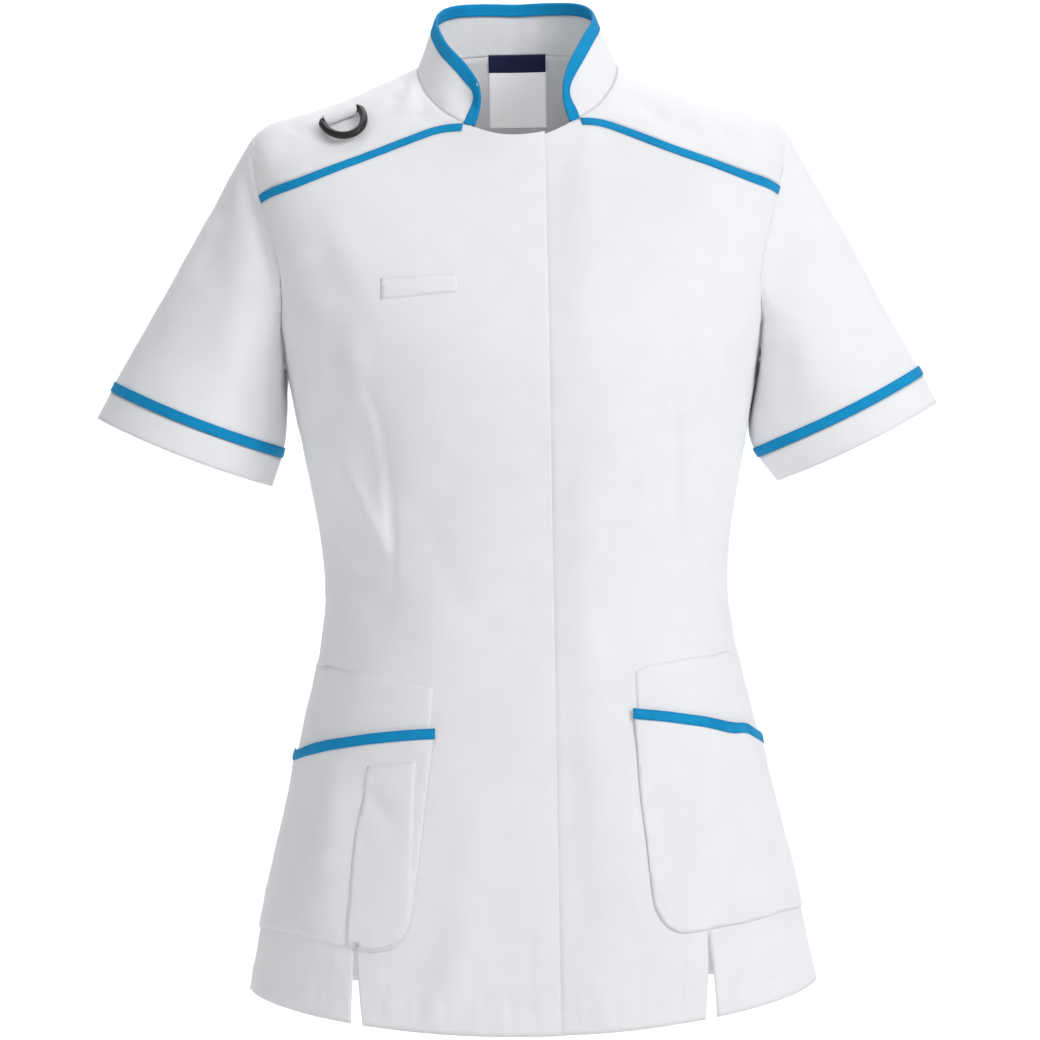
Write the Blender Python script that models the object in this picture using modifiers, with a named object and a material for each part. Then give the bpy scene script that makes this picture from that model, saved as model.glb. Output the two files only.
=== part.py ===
"""Women's short-sleeved medical tunic, worn open form: stand collar, front yokes, lapped popper
front, lower patch pockets, coloured trims and a plastic D-ring on the wearer's right shoulder.

Frame: metres, +Z up, +X to the wearer's left, front towards -Y. The origin lies midway between
the two side-neck points, on the line of the shoulders, where the wearer carries the garment.
"""

import math
from typing import NamedTuple

import bmesh
import bpy
import numpy as np
from mathutils import Matrix, Vector
from mathutils.bvhtree import BVHTree

NAME = "medical_tunic"

# Walls and gaps
WALL = 0.0012            # cloth of the panels
COLLAR_WALL = 0.0016     # doubled cloth of the collar
PATCH_WALL = 0.0010      # pockets, trims, tab and label
SEAM_GAP = 0.0010        # between two panels along a seam
YOKE_INSET = 0.0008      # from the seam to the edge of a yoke
LAY_GAP = 0.0004         # between a panel and what lies on it
PATCH_LIFT = 0.0018      # inside of a pocket's outer patch above the front
TOP_LIFT = 0.0032        # inside of what lies on the outer patch
SLEEVE_GAP = 0.0002      # between the armhole and the first row of the sleeve
SLEEVE_CLEAR = 0.0018    # between the side of the torso and the sleeve that hangs on it

# Lapped front
FLY_EDGE = 0.0205        # free edge of the upper front past the centre line
LAP_DROP = 0.0038        # how far the lower front lies inside the upper one
LAP_RAMP = (0.024, 0.046)  # distance from the centre over which it comes back out
POPPER_RADIUS = 0.0055
POPPER_HEIGHT = 0.0008
POPPER_TOP = -0.083
POPPER_PITCH = 0.082
POPPER_COUNT = 6

# Trims and cuffs
TRIM = 0.008
CUFF = 0.024

# Collar and label
YOKE_CORNER = {-1: 0.0414, 1: 0.0466}  # where the yoke seam meets the neckline, each side
COLLAR_END = {-1: 0.0355, 1: 0.0415}   # where the collar ends on it
COLLAR_ROWS = 3
COLLAR_SEAM = 0.0005     # start of the collar above the neckline
BINDING_GAP = 0.0014     # between the collar and the tape folded over its edge
BINDING_START = 0.12     # share of the collar's front end that the tape leaves bare
NECK_CENTRE = (0.0, -0.008)
LABEL_HALF_WIDTH = 0.0230
LABEL_BOTTOM = -0.038

# Sleeves
SLEEVE_HEM_HALF_DEPTH = 0.0575
SLEEVE_HEM_DIP = 0.003   # the front and back of the hem hang a little lower
SLEEVE_CAP_EASE = 0.15   # how much the sleeve head stands out of the armhole

# D-ring and its tab on the right shoulder yoke
RING_WIRE = 0.0026       # radius of the section
RING_HALF_BAR = 0.0158   # centre of the straight bar to the centre of a leg
RING_REACH = 0.0282      # bar to the centre of the round end
RING_BAR_ENDS = ((0.1499, -0.0518), (0.1184, -0.0394))  # x, z on the yoke
RING_CLEARANCE = 0.0004
RING_CORNER = 0.0030     # radius of the centre line between the bar and a leg
BAR_GAP = 0.0005         # between the bar and the tab folded round it
TAB_HALF_WIDTH = 0.0110
TAB_LIFT = 0.0009        # between the tab and the yoke
TAB_TURN = (-90, -50, -10, 30, 65, 100, 140)  # degrees of the tab's fold round the bar
TAB_LOWER = (0.0150, 0.0110, 0.0075, 0.0040)  # rows of its under layer behind the bar
TAB_UPPER = (0.0056, 0.0085, 0.0115, 0.0150)  # rows of its upper layer

# Numbers of cells along the shared seams
LOW_ARM = 3              # underarm point to the turn of the armhole
HIGH_ARM = 5             # from there to the yoke, without the trim's own row
YOKE_ARM = 5
YOKE_SEAM = 9
NECK_FRONT = 3
NECK_YOKE = 5
NECK_BACK = 8
BODY_ROWS = 11           # side seam above the vents
SLEEVE_ROWS = 6


class Ring(NamedTuple):
    """Section of the torso: a superellipse that sinks from its side to its front and back."""

    level: float     # distance up the cloth at the side, from the hem
    width: float     # half width
    front: float     # depth in front of the shoulder line
    back: float      # depth behind it
    z_front: float
    z_side: float
    z_back: float
    square: float    # exponent of the superellipse
    drop: float      # exponent of the fall from side to front and back


TORSO = (
    Ring(0.000, 0.2200, 0.1380, 0.1400, -0.7370, -0.7120, -0.7330, 2.25, 2.0),
    Ring(0.060, 0.2085, 0.1340, 0.1420, -0.6620, -0.6520, -0.6620, 2.25, 2.0),
    Ring(0.130, 0.1905, 0.1300, 0.1400, -0.5840, -0.5770, -0.5840, 2.25, 2.0),
    Ring(0.200, 0.1740, 0.1260, 0.1310, -0.5080, -0.5050, -0.5080, 2.25, 2.0),
    Ring(0.255, 0.1620, 0.1225, 0.1200, -0.4530, -0.4520, -0.4530, 2.20, 2.0),
    Ring(0.305, 0.1565, 0.1220, 0.1140, -0.4030, -0.4030, -0.4030, 2.20, 2.0),
    Ring(0.370, 0.1640, 0.1310, 0.1170, -0.3360, -0.3380, -0.3380, 2.20, 2.0),
    Ring(0.430, 0.1745, 0.1430, 0.1220, -0.2760, -0.2820, -0.2800, 2.20, 2.0),
    Ring(0.485, 0.1835, 0.1450, 0.1250, -0.2280, -0.2320, -0.2280, 2.30, 2.0),
    Ring(0.550, 0.1985, 0.1290, 0.1210, -0.1860, -0.1680, -0.1780, 2.40, 2.0),
    Ring(0.610, 0.2085, 0.1110, 0.1130, -0.1510, -0.1080, -0.1320, 2.40, 1.9),
    Ring(0.665, 0.2080, 0.0930, 0.0980, -0.1200, -0.0530, -0.0850, 2.35, 1.8),
    Ring(0.735, 0.1430, 0.0820, 0.0750, -0.0930, -0.0265, -0.0300, 2.15, 1.7),
    Ring(0.805, 0.0780, 0.0720, 0.0570, -0.0595, 0.0000, 0.0165, 2.00, 1.1),
)
NECK_LEVEL = TORSO[-1].level
ARM_LEVEL = 0.485
SHOULDER_LEVEL = 0.665
YOKE_BACK_ANGLE = 116.0  # where the yoke's back seam meets the neckline
YOKE_BOW = (0.0050, 0.175)  # rise of the front yoke seam over a straight line, and where


class ArmPoint(NamedTuple):
    """Point of the armhole, given by two of its coordinates on the torso."""

    axes: str
    first: float
    second: float
    mark: str        # where a seam or a patch of cells meets the armhole


ARMHOLE = (
    ArmPoint("yz", 0.000, -0.2320, "underarm"),
    ArmPoint("yz", -0.028, -0.2260, ""),
    ArmPoint("yz", -0.050, -0.2020, "front turn"),
    ArmPoint("xz", 0.1835, -0.1700, ""),
    ArmPoint("xz", 0.1910, -0.1350, ""),
    ArmPoint("xz", 0.2005, -0.1000, "front yoke"),
    ArmPoint("xy", 0.2060, -0.0220, ""),
    ArmPoint("xy", 0.2080, 0.0000, "shoulder"),
    ArmPoint("xy", 0.2055, 0.0260, "back yoke"),
    ArmPoint("xz", 0.2010, -0.1050, ""),
    ArmPoint("xz", 0.1935, -0.1450, ""),
    ArmPoint("yz", 0.054, -0.1980, "back turn"),
    ArmPoint("yz", 0.030, -0.2260, ""),
    ArmPoint("yz", 0.000, -0.2320, "underarm"),
)


class SleeveHem(NamedTuple):
    """Hem of one sleeve seen from the front, by distances from the centre and heights."""

    outer: tuple
    inner: tuple
    hang: float      # how far the underarm side hangs in towards the torso


SLEEVE_HEMS = {
    -1: SleeveHem((0.3315, -0.2684), (0.1970, -0.3238), 0.002),
    1: SleeveHem((0.3228, -0.2666), (0.1977, -0.3260), 0.013),
}


class Fold(NamedTuple):
    """Soft fold of a worn panel: a tapered ridge (height above 0) or trough between two points."""

    face: int        # -1 front, +1 back
    x0: float
    z0: float
    x1: float
    z1: float
    width: float
    height: float


FOLDS = (
    Fold(-1, -0.150, -0.300, -0.100, -0.385, 0.012, 0.0040),
    Fold(-1, -0.152, -0.335, -0.108, -0.415, 0.012, -0.0035),
    Fold(-1, -0.125, -0.265, -0.102, -0.350, 0.011, -0.0030),
    Fold(-1, 0.150, -0.305, 0.112, -0.395, 0.013, 0.0030),
    Fold(-1, 0.122, -0.265, 0.110, -0.360, 0.011, -0.0028),
    Fold(-1, -0.150, -0.560, -0.165, -0.690, 0.014, 0.0035),
    Fold(-1, 0.150, -0.560, 0.170, -0.690, 0.014, 0.0030),
    Fold(-1, -0.020, -0.520, 0.055, -0.430, 0.016, 0.0022),
    Fold(-1, -0.165, -0.190, -0.135, -0.260, 0.014, 0.0030),
    Fold(-1, 0.165, -0.190, 0.135, -0.260, 0.014, 0.0030),
    Fold(1, -0.145, -0.300, -0.060, -0.400, 0.014, 0.0035),
    Fold(1, 0.140, -0.310, 0.065, -0.405, 0.014, 0.0035),
    Fold(1, -0.120, -0.420, -0.030, -0.385, 0.012, -0.0030),
    Fold(1, 0.125, -0.425, 0.035, -0.390, 0.012, -0.0030),
    Fold(1, -0.070, -0.560, -0.085, -0.700, 0.015, 0.0035),
    Fold(1, 0.075, -0.550, 0.090, -0.700, 0.015, 0.0035),
    Fold(1, -0.150, -0.150, -0.120, -0.250, 0.014, 0.0030),
    Fold(1, 0.150, -0.150, 0.120, -0.250, 0.014, 0.0030),
)


class CollarPoint(NamedTuple):
    """Top of the collar over the neckline, by angle: rise, lean and bow towards the neck."""

    angle: float
    rise: float
    lean: float
    bow: float


COLLAR_BACK = (
    CollarPoint(130.0, 0.0415, 0.0110, 0.0),
    CollarPoint(150.0, 0.0402, 0.0085, 0.0),
    CollarPoint(180.0, 0.0380, 0.0050, 0.0),
)
COLLAR = {
    -1: (
        CollarPoint(27.0, 0.0320, 0.0077, 0.0054),
        CollarPoint(32.0, 0.0346, 0.0128, 0.0045),
        CollarPoint(42.0, 0.0408, 0.0139, 0.0020),
        CollarPoint(55.0, 0.0410, 0.0138, 0.0),
        CollarPoint(70.0, 0.0378, 0.0152, 0.0),
        CollarPoint(90.0, 0.0350, 0.0145, 0.0),
        CollarPoint(110.0, 0.0395, 0.0120, 0.0),
    ) + COLLAR_BACK,
    1: (
        CollarPoint(32.0, 0.0296, 0.0081, 0.0046),
        CollarPoint(36.7, 0.0342, 0.0126, 0.0040),
        CollarPoint(42.0, 0.0387, 0.0149, 0.0020),
        CollarPoint(55.0, 0.0414, 0.0184, 0.0),
        CollarPoint(70.0, 0.0405, 0.0193, 0.0),
        CollarPoint(90.0, 0.0360, 0.0170, 0.0),
        CollarPoint(110.0, 0.0395, 0.0135, 0.0),
    ) + COLLAR_BACK,
}


class Pocket(NamedTuple):
    """Lower pocket on one front: lines of x and z seen from the front, inner edge first."""

    side: int            # -1 wearer's right, +1 wearer's left
    backing: tuple       # top of the inner patch
    backing_out: float   # its z at the side seam
    opening: tuple       # top of the outer patch
    opening_out: float
    foot: tuple          # inner edge, round corner and bottom edge
    foot_out: float


POCKETS = (
    Pocket(-1,
           ((0.0711, -0.4767), (0.1113, -0.4693), (0.1324, -0.4659), (0.1510, -0.4625)), -0.4605,
           ((0.0708, -0.5079), (0.0965, -0.5094), (0.1219, -0.5127), (0.1487, -0.5181),
            (0.1660, -0.5232)), -0.5293,
           ((0.0902, -0.6459), (0.0950, -0.6623), (0.1049, -0.6713), (0.1178, -0.6749),
            (0.1330, -0.6728), (0.1601, -0.6674), (0.1840, -0.6634)), -0.6660),
    Pocket(1,
           ((0.0795, -0.4682), (0.0849, -0.4639), (0.1227, -0.4594), (0.1480, -0.4572)), -0.4575,
           ((0.0782, -0.4955), (0.1039, -0.4989), (0.1293, -0.5037), (0.1540, -0.5116)), -0.5238,
           ((0.0903, -0.6409), (0.0939, -0.6492), (0.0998, -0.6576), (0.1049, -0.6623),
            (0.1132, -0.6643), (0.1224, -0.6641), (0.1541, -0.6605), (0.1788, -0.6564)), -0.6560),
)
PEN_POCKET = ((0.0862, -0.5324), (0.0915, -0.6440), (0.0962, -0.6612), (0.1055, -0.6698),
              (0.1178, -0.6734), (0.1330, -0.6714), (0.1407, -0.6698), (0.1336, -0.5913),
              (0.1230, -0.5366))
WELT = ((0.1055, -0.1868), (0.1055, -0.1708), (0.0484, -0.1692), (0.0485, -0.1831))


class VentSize(NamedTuple):
    """Vent in a front hem: place at the hem, height in levels and half opening at the hem."""

    x: float
    levels: tuple
    half_open: float


VENT = VentSize(0.1325, (0.0, 0.0265, 0.0530), 0.0042)


class Finish(NamedTuple):
    """Plain finish of one material."""

    colour: tuple
    roughness: float
    metallic: float


FINISHES = {
    "white_cloth": Finish((0.86, 0.86, 0.88, 1.0), 0.85, 0.0),
    "blue_trim": Finish((0.0, 0.26, 0.56, 1.0), 0.75, 0.0),
    "black_plastic": Finish((0.012, 0.012, 0.013, 1.0), 0.45, 0.0),
    "label": Finish((0.80, 0.80, 0.82, 1.0), 0.60, 0.0),
    "popper": Finish((0.75, 0.75, 0.77, 1.0), 0.35, 0.0),
}


def through(knots, values, at):
    """Smooth curve through a table of values, evaluated at any number of places."""
    knots = np.asarray(knots, float)
    values = np.asarray(values, float)
    at = np.clip(np.asarray(at, float), knots[0], knots[-1])
    slopes = np.gradient(values, knots, axis=0)
    cell = np.clip(np.searchsorted(knots, at, side="right") - 1, 0, len(knots) - 2)
    span = (knots[cell + 1] - knots[cell])[..., None]
    t = (at - knots[cell])[..., None] / span
    start = (2 * t**3 - 3 * t**2 + 1) * values[cell] + (t**3 - 2 * t**2 + t) * span * slopes[cell]
    end = (3 * t**2 - 2 * t**3) * values[cell + 1] + (t**3 - t**2) * span * slopes[cell + 1]
    return start + end


RING_LEVELS = np.array([ring.level for ring in TORSO])
RING_VALUES = np.array([ring[1:] for ring in TORSO])


def torso_point(angle, level):
    """Point of the smooth torso; the angle runs from 0 at centre front to 90 at the left side."""
    ring = np.moveaxis(through(RING_LEVELS, RING_VALUES, level), -1, 0)
    width, front, back, z_front, z_side, z_back, square, drop = ring
    sine = np.sin(np.radians(angle))
    cosine = np.cos(np.radians(angle))
    reach = (np.abs(sine) ** square + np.abs(cosine) ** square) ** (-1.0 / square)
    depth = np.where(cosine > 0, front, back)
    low = np.where(cosine > 0, z_front, z_back)
    z = z_side + (low - z_side) * np.abs(cosine) ** drop
    return np.stack([width * reach * sine, -depth * reach * cosine, z], axis=-1)


def torso_normal(angle, level):
    """Outward unit normal of the smooth torso."""
    level = np.clip(level, 0.001, NECK_LEVEL - 0.001)
    across = torso_point(angle + 0.5, level) - torso_point(angle - 0.5, level)
    along = torso_point(angle, level + 0.001) - torso_point(angle, level - 0.001)
    normal = np.cross(across, along)
    return normal / np.linalg.norm(normal, axis=-1, keepdims=True)


def fold_height(points):
    """Height of the folds over the smooth torso at some of its points."""
    height = np.zeros(points.shape[:-1])
    for fold in FOLDS:
        start = np.array([fold.x0, fold.z0])
        run = np.array([fold.x1, fold.z1]) - start
        to_point = points[..., [0, 2]] - start
        along = to_point @ run / (run @ run)
        off = np.linalg.norm(to_point - along[..., None] * run, axis=-1)
        taper = np.clip(1.2 - (2 * along - 1) ** 2, 0, 1)
        facing = np.clip(fold.face * points[..., 1] / 0.03, 0, 1)
        height += fold.height * taper * facing * np.exp(-((off / fold.width) ** 2))
    return height


def cloth_point(angle, level):
    """Outer face of the worn cloth: the torso with its folds."""
    point = torso_point(angle, level)
    return point + torso_normal(angle, level) * fold_height(point)[..., None]


def locate(axes, first, second, start):
    """Angle and level at which two coordinates of the torso take the given values."""
    place = np.array(start, float)
    wanted = np.array([first, second])
    keep = ["xyz".index(axis) for axis in axes]
    for _ in range(30):
        here = torso_point(place[0], place[1])[keep]
        by_angle = (torso_point(place[0] + 0.02, place[1])[keep] - here) / 0.02
        by_level = (torso_point(place[0], place[1] - 0.0002)[keep] - here) / -0.0002
        step = np.linalg.solve(np.stack([by_angle, by_level], axis=1), wanted - here)
        place = place + np.clip(step, (-6.0, -0.02), (6.0, 0.02))
    return place


def evenly(curve, count, last=0.0):
    """Points of a dense curve in angle and level, evenly spaced on the cloth."""
    points = torso_point(curve[:, 0], curve[:, 1])
    steps = np.linalg.norm(np.diff(points, axis=0), axis=1)
    length = np.concatenate([[0.0], np.cumsum(steps)])
    if last:
        marks = np.append(np.linspace(0, length[-1] - last, count), length[-1])
    else:
        marks = np.linspace(0, length[-1], count + 1)
    angles = np.interp(marks, length, curve[:, 0])
    levels = np.interp(marks, length, curve[:, 1])
    return np.stack([angles, levels], axis=1)


def straight(start, end, count):
    """Evenly divided straight line between two places in angle and level."""
    return np.linspace(np.asarray(start, float), np.asarray(end, float), count + 1)


def armhole_curve():
    """Dense closed armhole on the left side, and the index of each mark on it."""
    guess = {"yz": (72.0, 0.52), "xz": (68.0, 0.58), "xy": (88.0, 0.66)}
    places = []
    for point in ARMHOLE:
        start = np.array(guess[point.axes])
        behind = point.axes != "xz" and point.first * (point.axes == "xy") + point.second > 0
        behind = behind or (len(places) > 8)
        if behind:
            start[0] = 180.0 - start[0]
        if point.mark == "underarm":
            places.append(np.array([90.0, ARM_LEVEL]))
        elif point.mark == "shoulder":
            places.append(np.array([90.0, SHOULDER_LEVEL]))
        else:
            places.append(locate(point.axes, point.first, point.second, start))
    places = np.array([places[-2]] + places + [places[1]])
    points = torso_point(places[:, 0], places[:, 1])
    knots = np.concatenate([[0.0], np.cumsum(np.linalg.norm(np.diff(points, axis=0), axis=1))])
    dense = np.concatenate([np.linspace(a, b, 20, endpoint=False)
                            for a, b in zip(knots[1:-2], knots[2:-1])] + [[knots[-2]]])
    marks = {}
    for index, point in enumerate(ARMHOLE):
        marks.setdefault(point.mark, index * 20)
    return through(knots, places, dense), marks


class Seams:
    """The lines in angle and level that neighbouring panels share, for the left half."""

    def __init__(self, side):
        arm, marks = armhole_curve()
        end = len(arm) - 1
        turn, yoke = marks["front turn"], marks["front yoke"]
        back, low = marks["back yoke"], marks["back turn"]
        self.low_front = evenly(arm[:turn + 1], LOW_ARM)
        self.high_front = evenly(arm[turn:yoke + 1], HIGH_ARM + 1, last=TRIM)
        self.over_yoke = evenly(arm[yoke:back + 1], YOKE_ARM)
        self.high_back = evenly(arm[back:low + 1], HIGH_ARM)
        self.low_back = evenly(arm[low:end + 1], LOW_ARM)
        self.side = self.side_rows()
        corner = self.on_neckline(YOKE_CORNER[side])
        self.collar_end = self.on_neckline(COLLAR_END[side])
        self.front_seam = self.yoke_front(corner, self.high_front[-1])
        neck_back = np.array([YOKE_BACK_ANGLE, NECK_LEVEL])
        self.back_seam = evenly(straight(neck_back, self.high_back[0], 40), YOKE_SEAM)
        self.neck_front = straight((-fly_angle(NECK_LEVEL), NECK_LEVEL), corner, NECK_FRONT)
        self.neck_yoke = evenly(straight(corner, neck_back, 60), NECK_YOKE)
        across = straight(neck_back, (360.0 - YOKE_BACK_ANGLE, NECK_LEVEL), 60)
        self.neck_back = evenly(across, NECK_BACK)

    def on_neckline(self, x):
        """Place on the front of the neckline at a distance from the centre."""
        return np.array([math.degrees(math.asin(x / TORSO[-1].width)), NECK_LEVEL])

    def side_rows(self):
        """Side seam from the hem to the underarm: the vent's rows and even ones above."""
        above = np.linspace(VENT.levels[-1], ARM_LEVEL, BODY_ROWS + 1)[1:]
        levels = np.concatenate([VENT.levels, above])
        return np.stack([np.full(len(levels), 90.0), levels], axis=1)

    def yoke_front(self, corner, arm_end):
        """Front yoke seam, straight when seen from the front, from the neck to the armhole."""
        start = torso_point(*corner)
        stop = torso_point(*arm_end)
        places = []
        for share in np.linspace(0, 1, 9):
            x = start[0] + (stop[0] - start[0]) * share
            bow = YOKE_BOW[0] * share / YOKE_BOW[1] * math.exp(1 - share / YOKE_BOW[1])
            z = start[2] + (stop[2] - start[2]) * share + bow
            guess = corner + (arm_end - corner) * share
            places.append(locate("xz", x, z, guess) if 0 < share < 1 else guess)
        knots = np.linspace(0, 1, 9)
        return evenly(through(knots, places, np.linspace(0, 1, 81)), YOKE_SEAM)


def fly_angle(level):
    """Angle of the free edge of a front past the centre line."""
    width = through(RING_LEVELS, RING_VALUES, level)[..., 0]
    return np.degrees(np.arcsin(FLY_EDGE / width))


def patch(bottom, top, left, right):
    """Cells between four lines in angle and level, as rows of places."""
    u = np.linspace(0, 1, len(bottom))[None, :, None]
    v = np.linspace(0, 1, len(left))[:, None, None]
    ruled = (1 - v) * bottom[None] + v * top[None] + (1 - u) * left[:, None] + u * right[:, None]
    corners = ((1 - u) * (1 - v) * bottom[0] + u * (1 - v) * bottom[-1]
               + (1 - u) * v * top[0] + u * v * top[-1])
    return ruled - corners


class Panel:
    """Panel of cloth as a grid of cells: points and normals by column and row."""

    def __init__(self, points, missing=None):
        self.points = points
        self.rows = points.shape[0] - 1
        self.columns = points.shape[1] - 1
        self.missing = missing or (lambda column, row: False)
        self.normals = np.zeros_like(points)
        mesh = self.flat()
        shape = self.raise_mesh(mesh, 0.0)
        shape.normal_update()
        for vert in shape.verts:
            column, row = self.places[vert.index]
            self.normals[row, column] = vert.normal
        shape.free()

    def flat(self):
        """Flat grid, one unit a cell, each cell split along its rising diagonal."""
        mesh = bmesh.new()
        bmesh.ops.create_grid(mesh, x_segments=self.columns, y_segments=self.rows, size=0.5)
        for vert in mesh.verts:
            column = round((vert.co.x + 0.5) * self.columns)
            row = round((vert.co.y + 0.5) * self.rows)
            vert.co = (column, row, 0.0)
        empty = [face for face in mesh.faces if self.missing(*face.calc_center_median().xy)]
        bmesh.ops.delete(mesh, geom=empty, context="FACES")
        for face in list(mesh.faces):
            order = sorted(face.verts, key=lambda vert: vert.co.x + vert.co.y)
            bmesh.utils.face_split(face, order[0], order[-1])
        mesh.verts.index_update()
        self.places = {vert.index: (round(vert.co.x), round(vert.co.y)) for vert in mesh.verts}
        return mesh

    def blend(self, grid, u, v):
        """Value of a grid at a place between its points, on the flat triangles."""
        column = min(int(u), self.columns - 1)
        row = min(int(v), self.rows - 1)
        du = u - column
        dv = v - row
        low = grid[row, column]
        high = grid[row + 1, column + 1]
        if du >= dv:
            return low + du * (grid[row, column + 1] - low) + dv * (high - grid[row, column + 1])
        return low + dv * (grid[row + 1, column] - low) + du * (high - grid[row + 1, column])

    def raise_mesh(self, mesh, lift):
        """Move a flat mesh onto the panel, a little above or below its face."""
        for vert in mesh.verts:
            u = min(max(vert.co.x, 0.0), self.columns)
            v = min(max(vert.co.y, 0.0), self.rows)
            u = round(u) if abs(u - round(u)) < 1e-5 else u
            v = round(v) if abs(v - round(v)) < 1e-5 else v
            point = self.blend(self.points, u, v)
            vert.co = Vector(point + lift * self.blend(self.normals, u, v))
        return mesh

    def find(self, x, z):
        """Place in cells of the point that lies at x and z when seen from the front."""
        aim = np.array([x, z])
        best = (1e9, (0.0, 0.0))
        for row in range(self.rows):
            for column in range(self.columns):
                if self.missing(column + 0.5, row + 0.5):
                    continue
                low = self.points[row, column][[0, 2]]
                high = self.points[row + 1, column + 1][[0, 2]]
                for upper in (False, True):
                    third = self.points[row + upper, column + (not upper)][[0, 2]]
                    axes = np.stack([third - low, high - low], axis=1)
                    if abs(np.linalg.det(axes)) < 1e-10:
                        continue
                    a, b = np.linalg.solve(axes, aim - low)
                    outside = max(-a, -b, a + b - 1, 0.0)
                    if outside < best[0]:
                        place = (column + b + a * (not upper), row + b + a * upper)
                        best = (outside, place)
        return best[1]

    def strip(self, lift, column_range, row_range):
        """Whole cells of the panel, moved out."""
        mesh = self.flat()
        first, last = column_range
        low, high = row_range
        spare = []
        for face in mesh.faces:
            centre = face.calc_center_median()
            if not (first < centre.x < last and low < centre.y < high):
                spare.append(face)
        bmesh.ops.delete(mesh, geom=spare, context="FACES")
        return self.raise_mesh(mesh, lift)

    def cut(self, outline):
        """Part of the flat grid inside an outline in cells."""
        mesh = self.flat()
        for start, end in zip(outline, outline[1:] + outline[:1]):
            side = Vector((end[1] - start[1], start[0] - end[0], 0.0)).normalized()
            near = [face for face in mesh.faces if spans(face, start, end)]
            geometry = set(near)
            for face in near:
                geometry.update(face.edges)
                geometry.update(face.verts)
            bmesh.ops.bisect_plane(mesh, geom=list(geometry), dist=0.0001,
                                   plane_co=(start[0], start[1], 0.0), plane_no=side)
        spare = [face for face in mesh.faces
                 if not encloses(outline, face.calc_center_median())]
        bmesh.ops.delete(mesh, geom=spare, context="FACES")
        mesh.verts.index_update()
        return mesh

    def piece(self, lift, outline):
        """Part of the panel inside an outline in cells, moved out."""
        return self.raise_mesh(self.cut(outline), lift)


def spans(face, start, end):
    """Whether the box round a flat face meets the box round a line."""
    for axis in (0, 1):
        values = [vert.co[axis] for vert in face.verts]
        if max(values) < min(start[axis], end[axis]) - 1e-4:
            return False
        if min(values) > max(start[axis], end[axis]) + 1e-4:
            return False
    return True


def encloses(outline, place):
    """Whether a flat outline goes round a place."""
    inside = False
    for (x0, y0), (x1, y1) in zip(outline, outline[1:] + outline[:1]):
        if (y0 > place.y) != (y1 > place.y):
            if place.x < x0 + (x1 - x0) * (place.y - y0) / (y1 - y0):
                inside = not inside
    return inside


def inset_border(mesh, distance):
    """Draw the free edges of an open surface in, to leave the gap of a seam."""
    moves = {vert: [] for vert in mesh.verts if vert.is_boundary}
    for edge in mesh.edges:
        if not edge.is_boundary:
            continue
        face = edge.link_faces[0]
        run = (edge.verts[1].co - edge.verts[0].co).normalized()
        inward = face.normal.cross(run)
        if inward.dot(face.calc_center_median() - edge.verts[0].co) < 0:
            inward.negate()
        for vert in edge.verts:
            moves[vert].append(inward)
    for vert, sides in moves.items():
        total = sides[0] + sides[-1]
        vert.co += total * (distance / (1.0 + max(sides[0].dot(sides[-1]), -0.5)))


def open_vent(mesh, panel, column, half_open):
    """Slit a front along one column, from the hem up to the top of the vent."""
    rows = len(VENT.levels) - 1
    near = [Vector(panel.points[row, column]) for row in range(rows + 1)]
    slit = []
    for edge in mesh.edges:
        ends = [vert.co for vert in edge.verts]
        for low, high in zip(near[:-1], near[1:]):
            lies = min(sum((a - b).length for a, b in zip(ends, (low, high))),
                       sum((a - b).length for a, b in zip(ends, (high, low))))
            if lies < 1e-5:
                slit.append(edge)
    bmesh.ops.split_edges(mesh, edges=slit)
    across = Vector(panel.points[0, column + 1] - panel.points[0, column - 1]).normalized()
    for row in range(rows):
        share = (1.0 - row / rows) ** 1.5
        for vert in mesh.verts:
            if (vert.co - near[row]).length < 1e-5:
                middle = sum((face.calc_center_median() for face in vert.link_faces), Vector())
                middle /= len(vert.link_faces)
                sign = 1.0 if (middle - near[row]).dot(across) > 0 else -1.0
                vert.co += across * sign * (half_open * share + 0.0004)


def material(name):
    """Principled material of one finish."""
    found = bpy.data.materials.get(name)
    if found:
        return found
    finish = FINISHES[name]
    made = bpy.data.materials.new(name)
    made.use_nodes = True
    shader = made.node_tree.nodes["Principled BSDF"]
    shader.inputs["Base Color"].default_value = finish.colour
    shader.inputs["Roughness"].default_value = finish.roughness
    shader.inputs["Metallic"].default_value = finish.metallic
    made.diffuse_color = finish.colour
    return made


class Garment:
    """Collection and parent that hold the pieces."""

    def __init__(self):
        for item in list(bpy.data.objects):
            bpy.data.objects.remove(item, do_unlink=True)
        self.collection = bpy.data.collections.new(NAME)
        bpy.context.scene.collection.children.link(self.collection)
        self.root = bpy.data.objects.new(NAME + "_frame", None)
        self.collection.objects.link(self.root)

    def adopt(self, item, finish, parent=None):
        """Link an object to the garment and give it its finish."""
        for other in list(item.users_collection):
            other.objects.unlink(item)
        self.collection.objects.link(item)
        item.parent = parent or self.root
        item.data.materials.clear()
        item.data.materials.append(material(finish))
        return item

    def cloth(self, name, mesh, finish, wall=WALL, outward=False):
        """Wall of cloth from an open surface, with its origin at its middle."""
        mesh.normal_update()
        middle = sum((vert.co for vert in mesh.verts), Vector()) / len(mesh.verts)
        bmesh.ops.translate(mesh, verts=mesh.verts[:], vec=-middle)
        data = bpy.data.meshes.new(name)
        mesh.to_mesh(data)
        mesh.free()
        data.shade_smooth()
        item = bpy.data.objects.new(name, data)
        item.location = middle
        self.adopt(item, finish)
        solid = item.modifiers.new("wall", "SOLIDIFY")
        solid.thickness = wall
        solid.offset = 1.0 if outward else -1.0
        solid.use_even_offset = True
        return item


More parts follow.
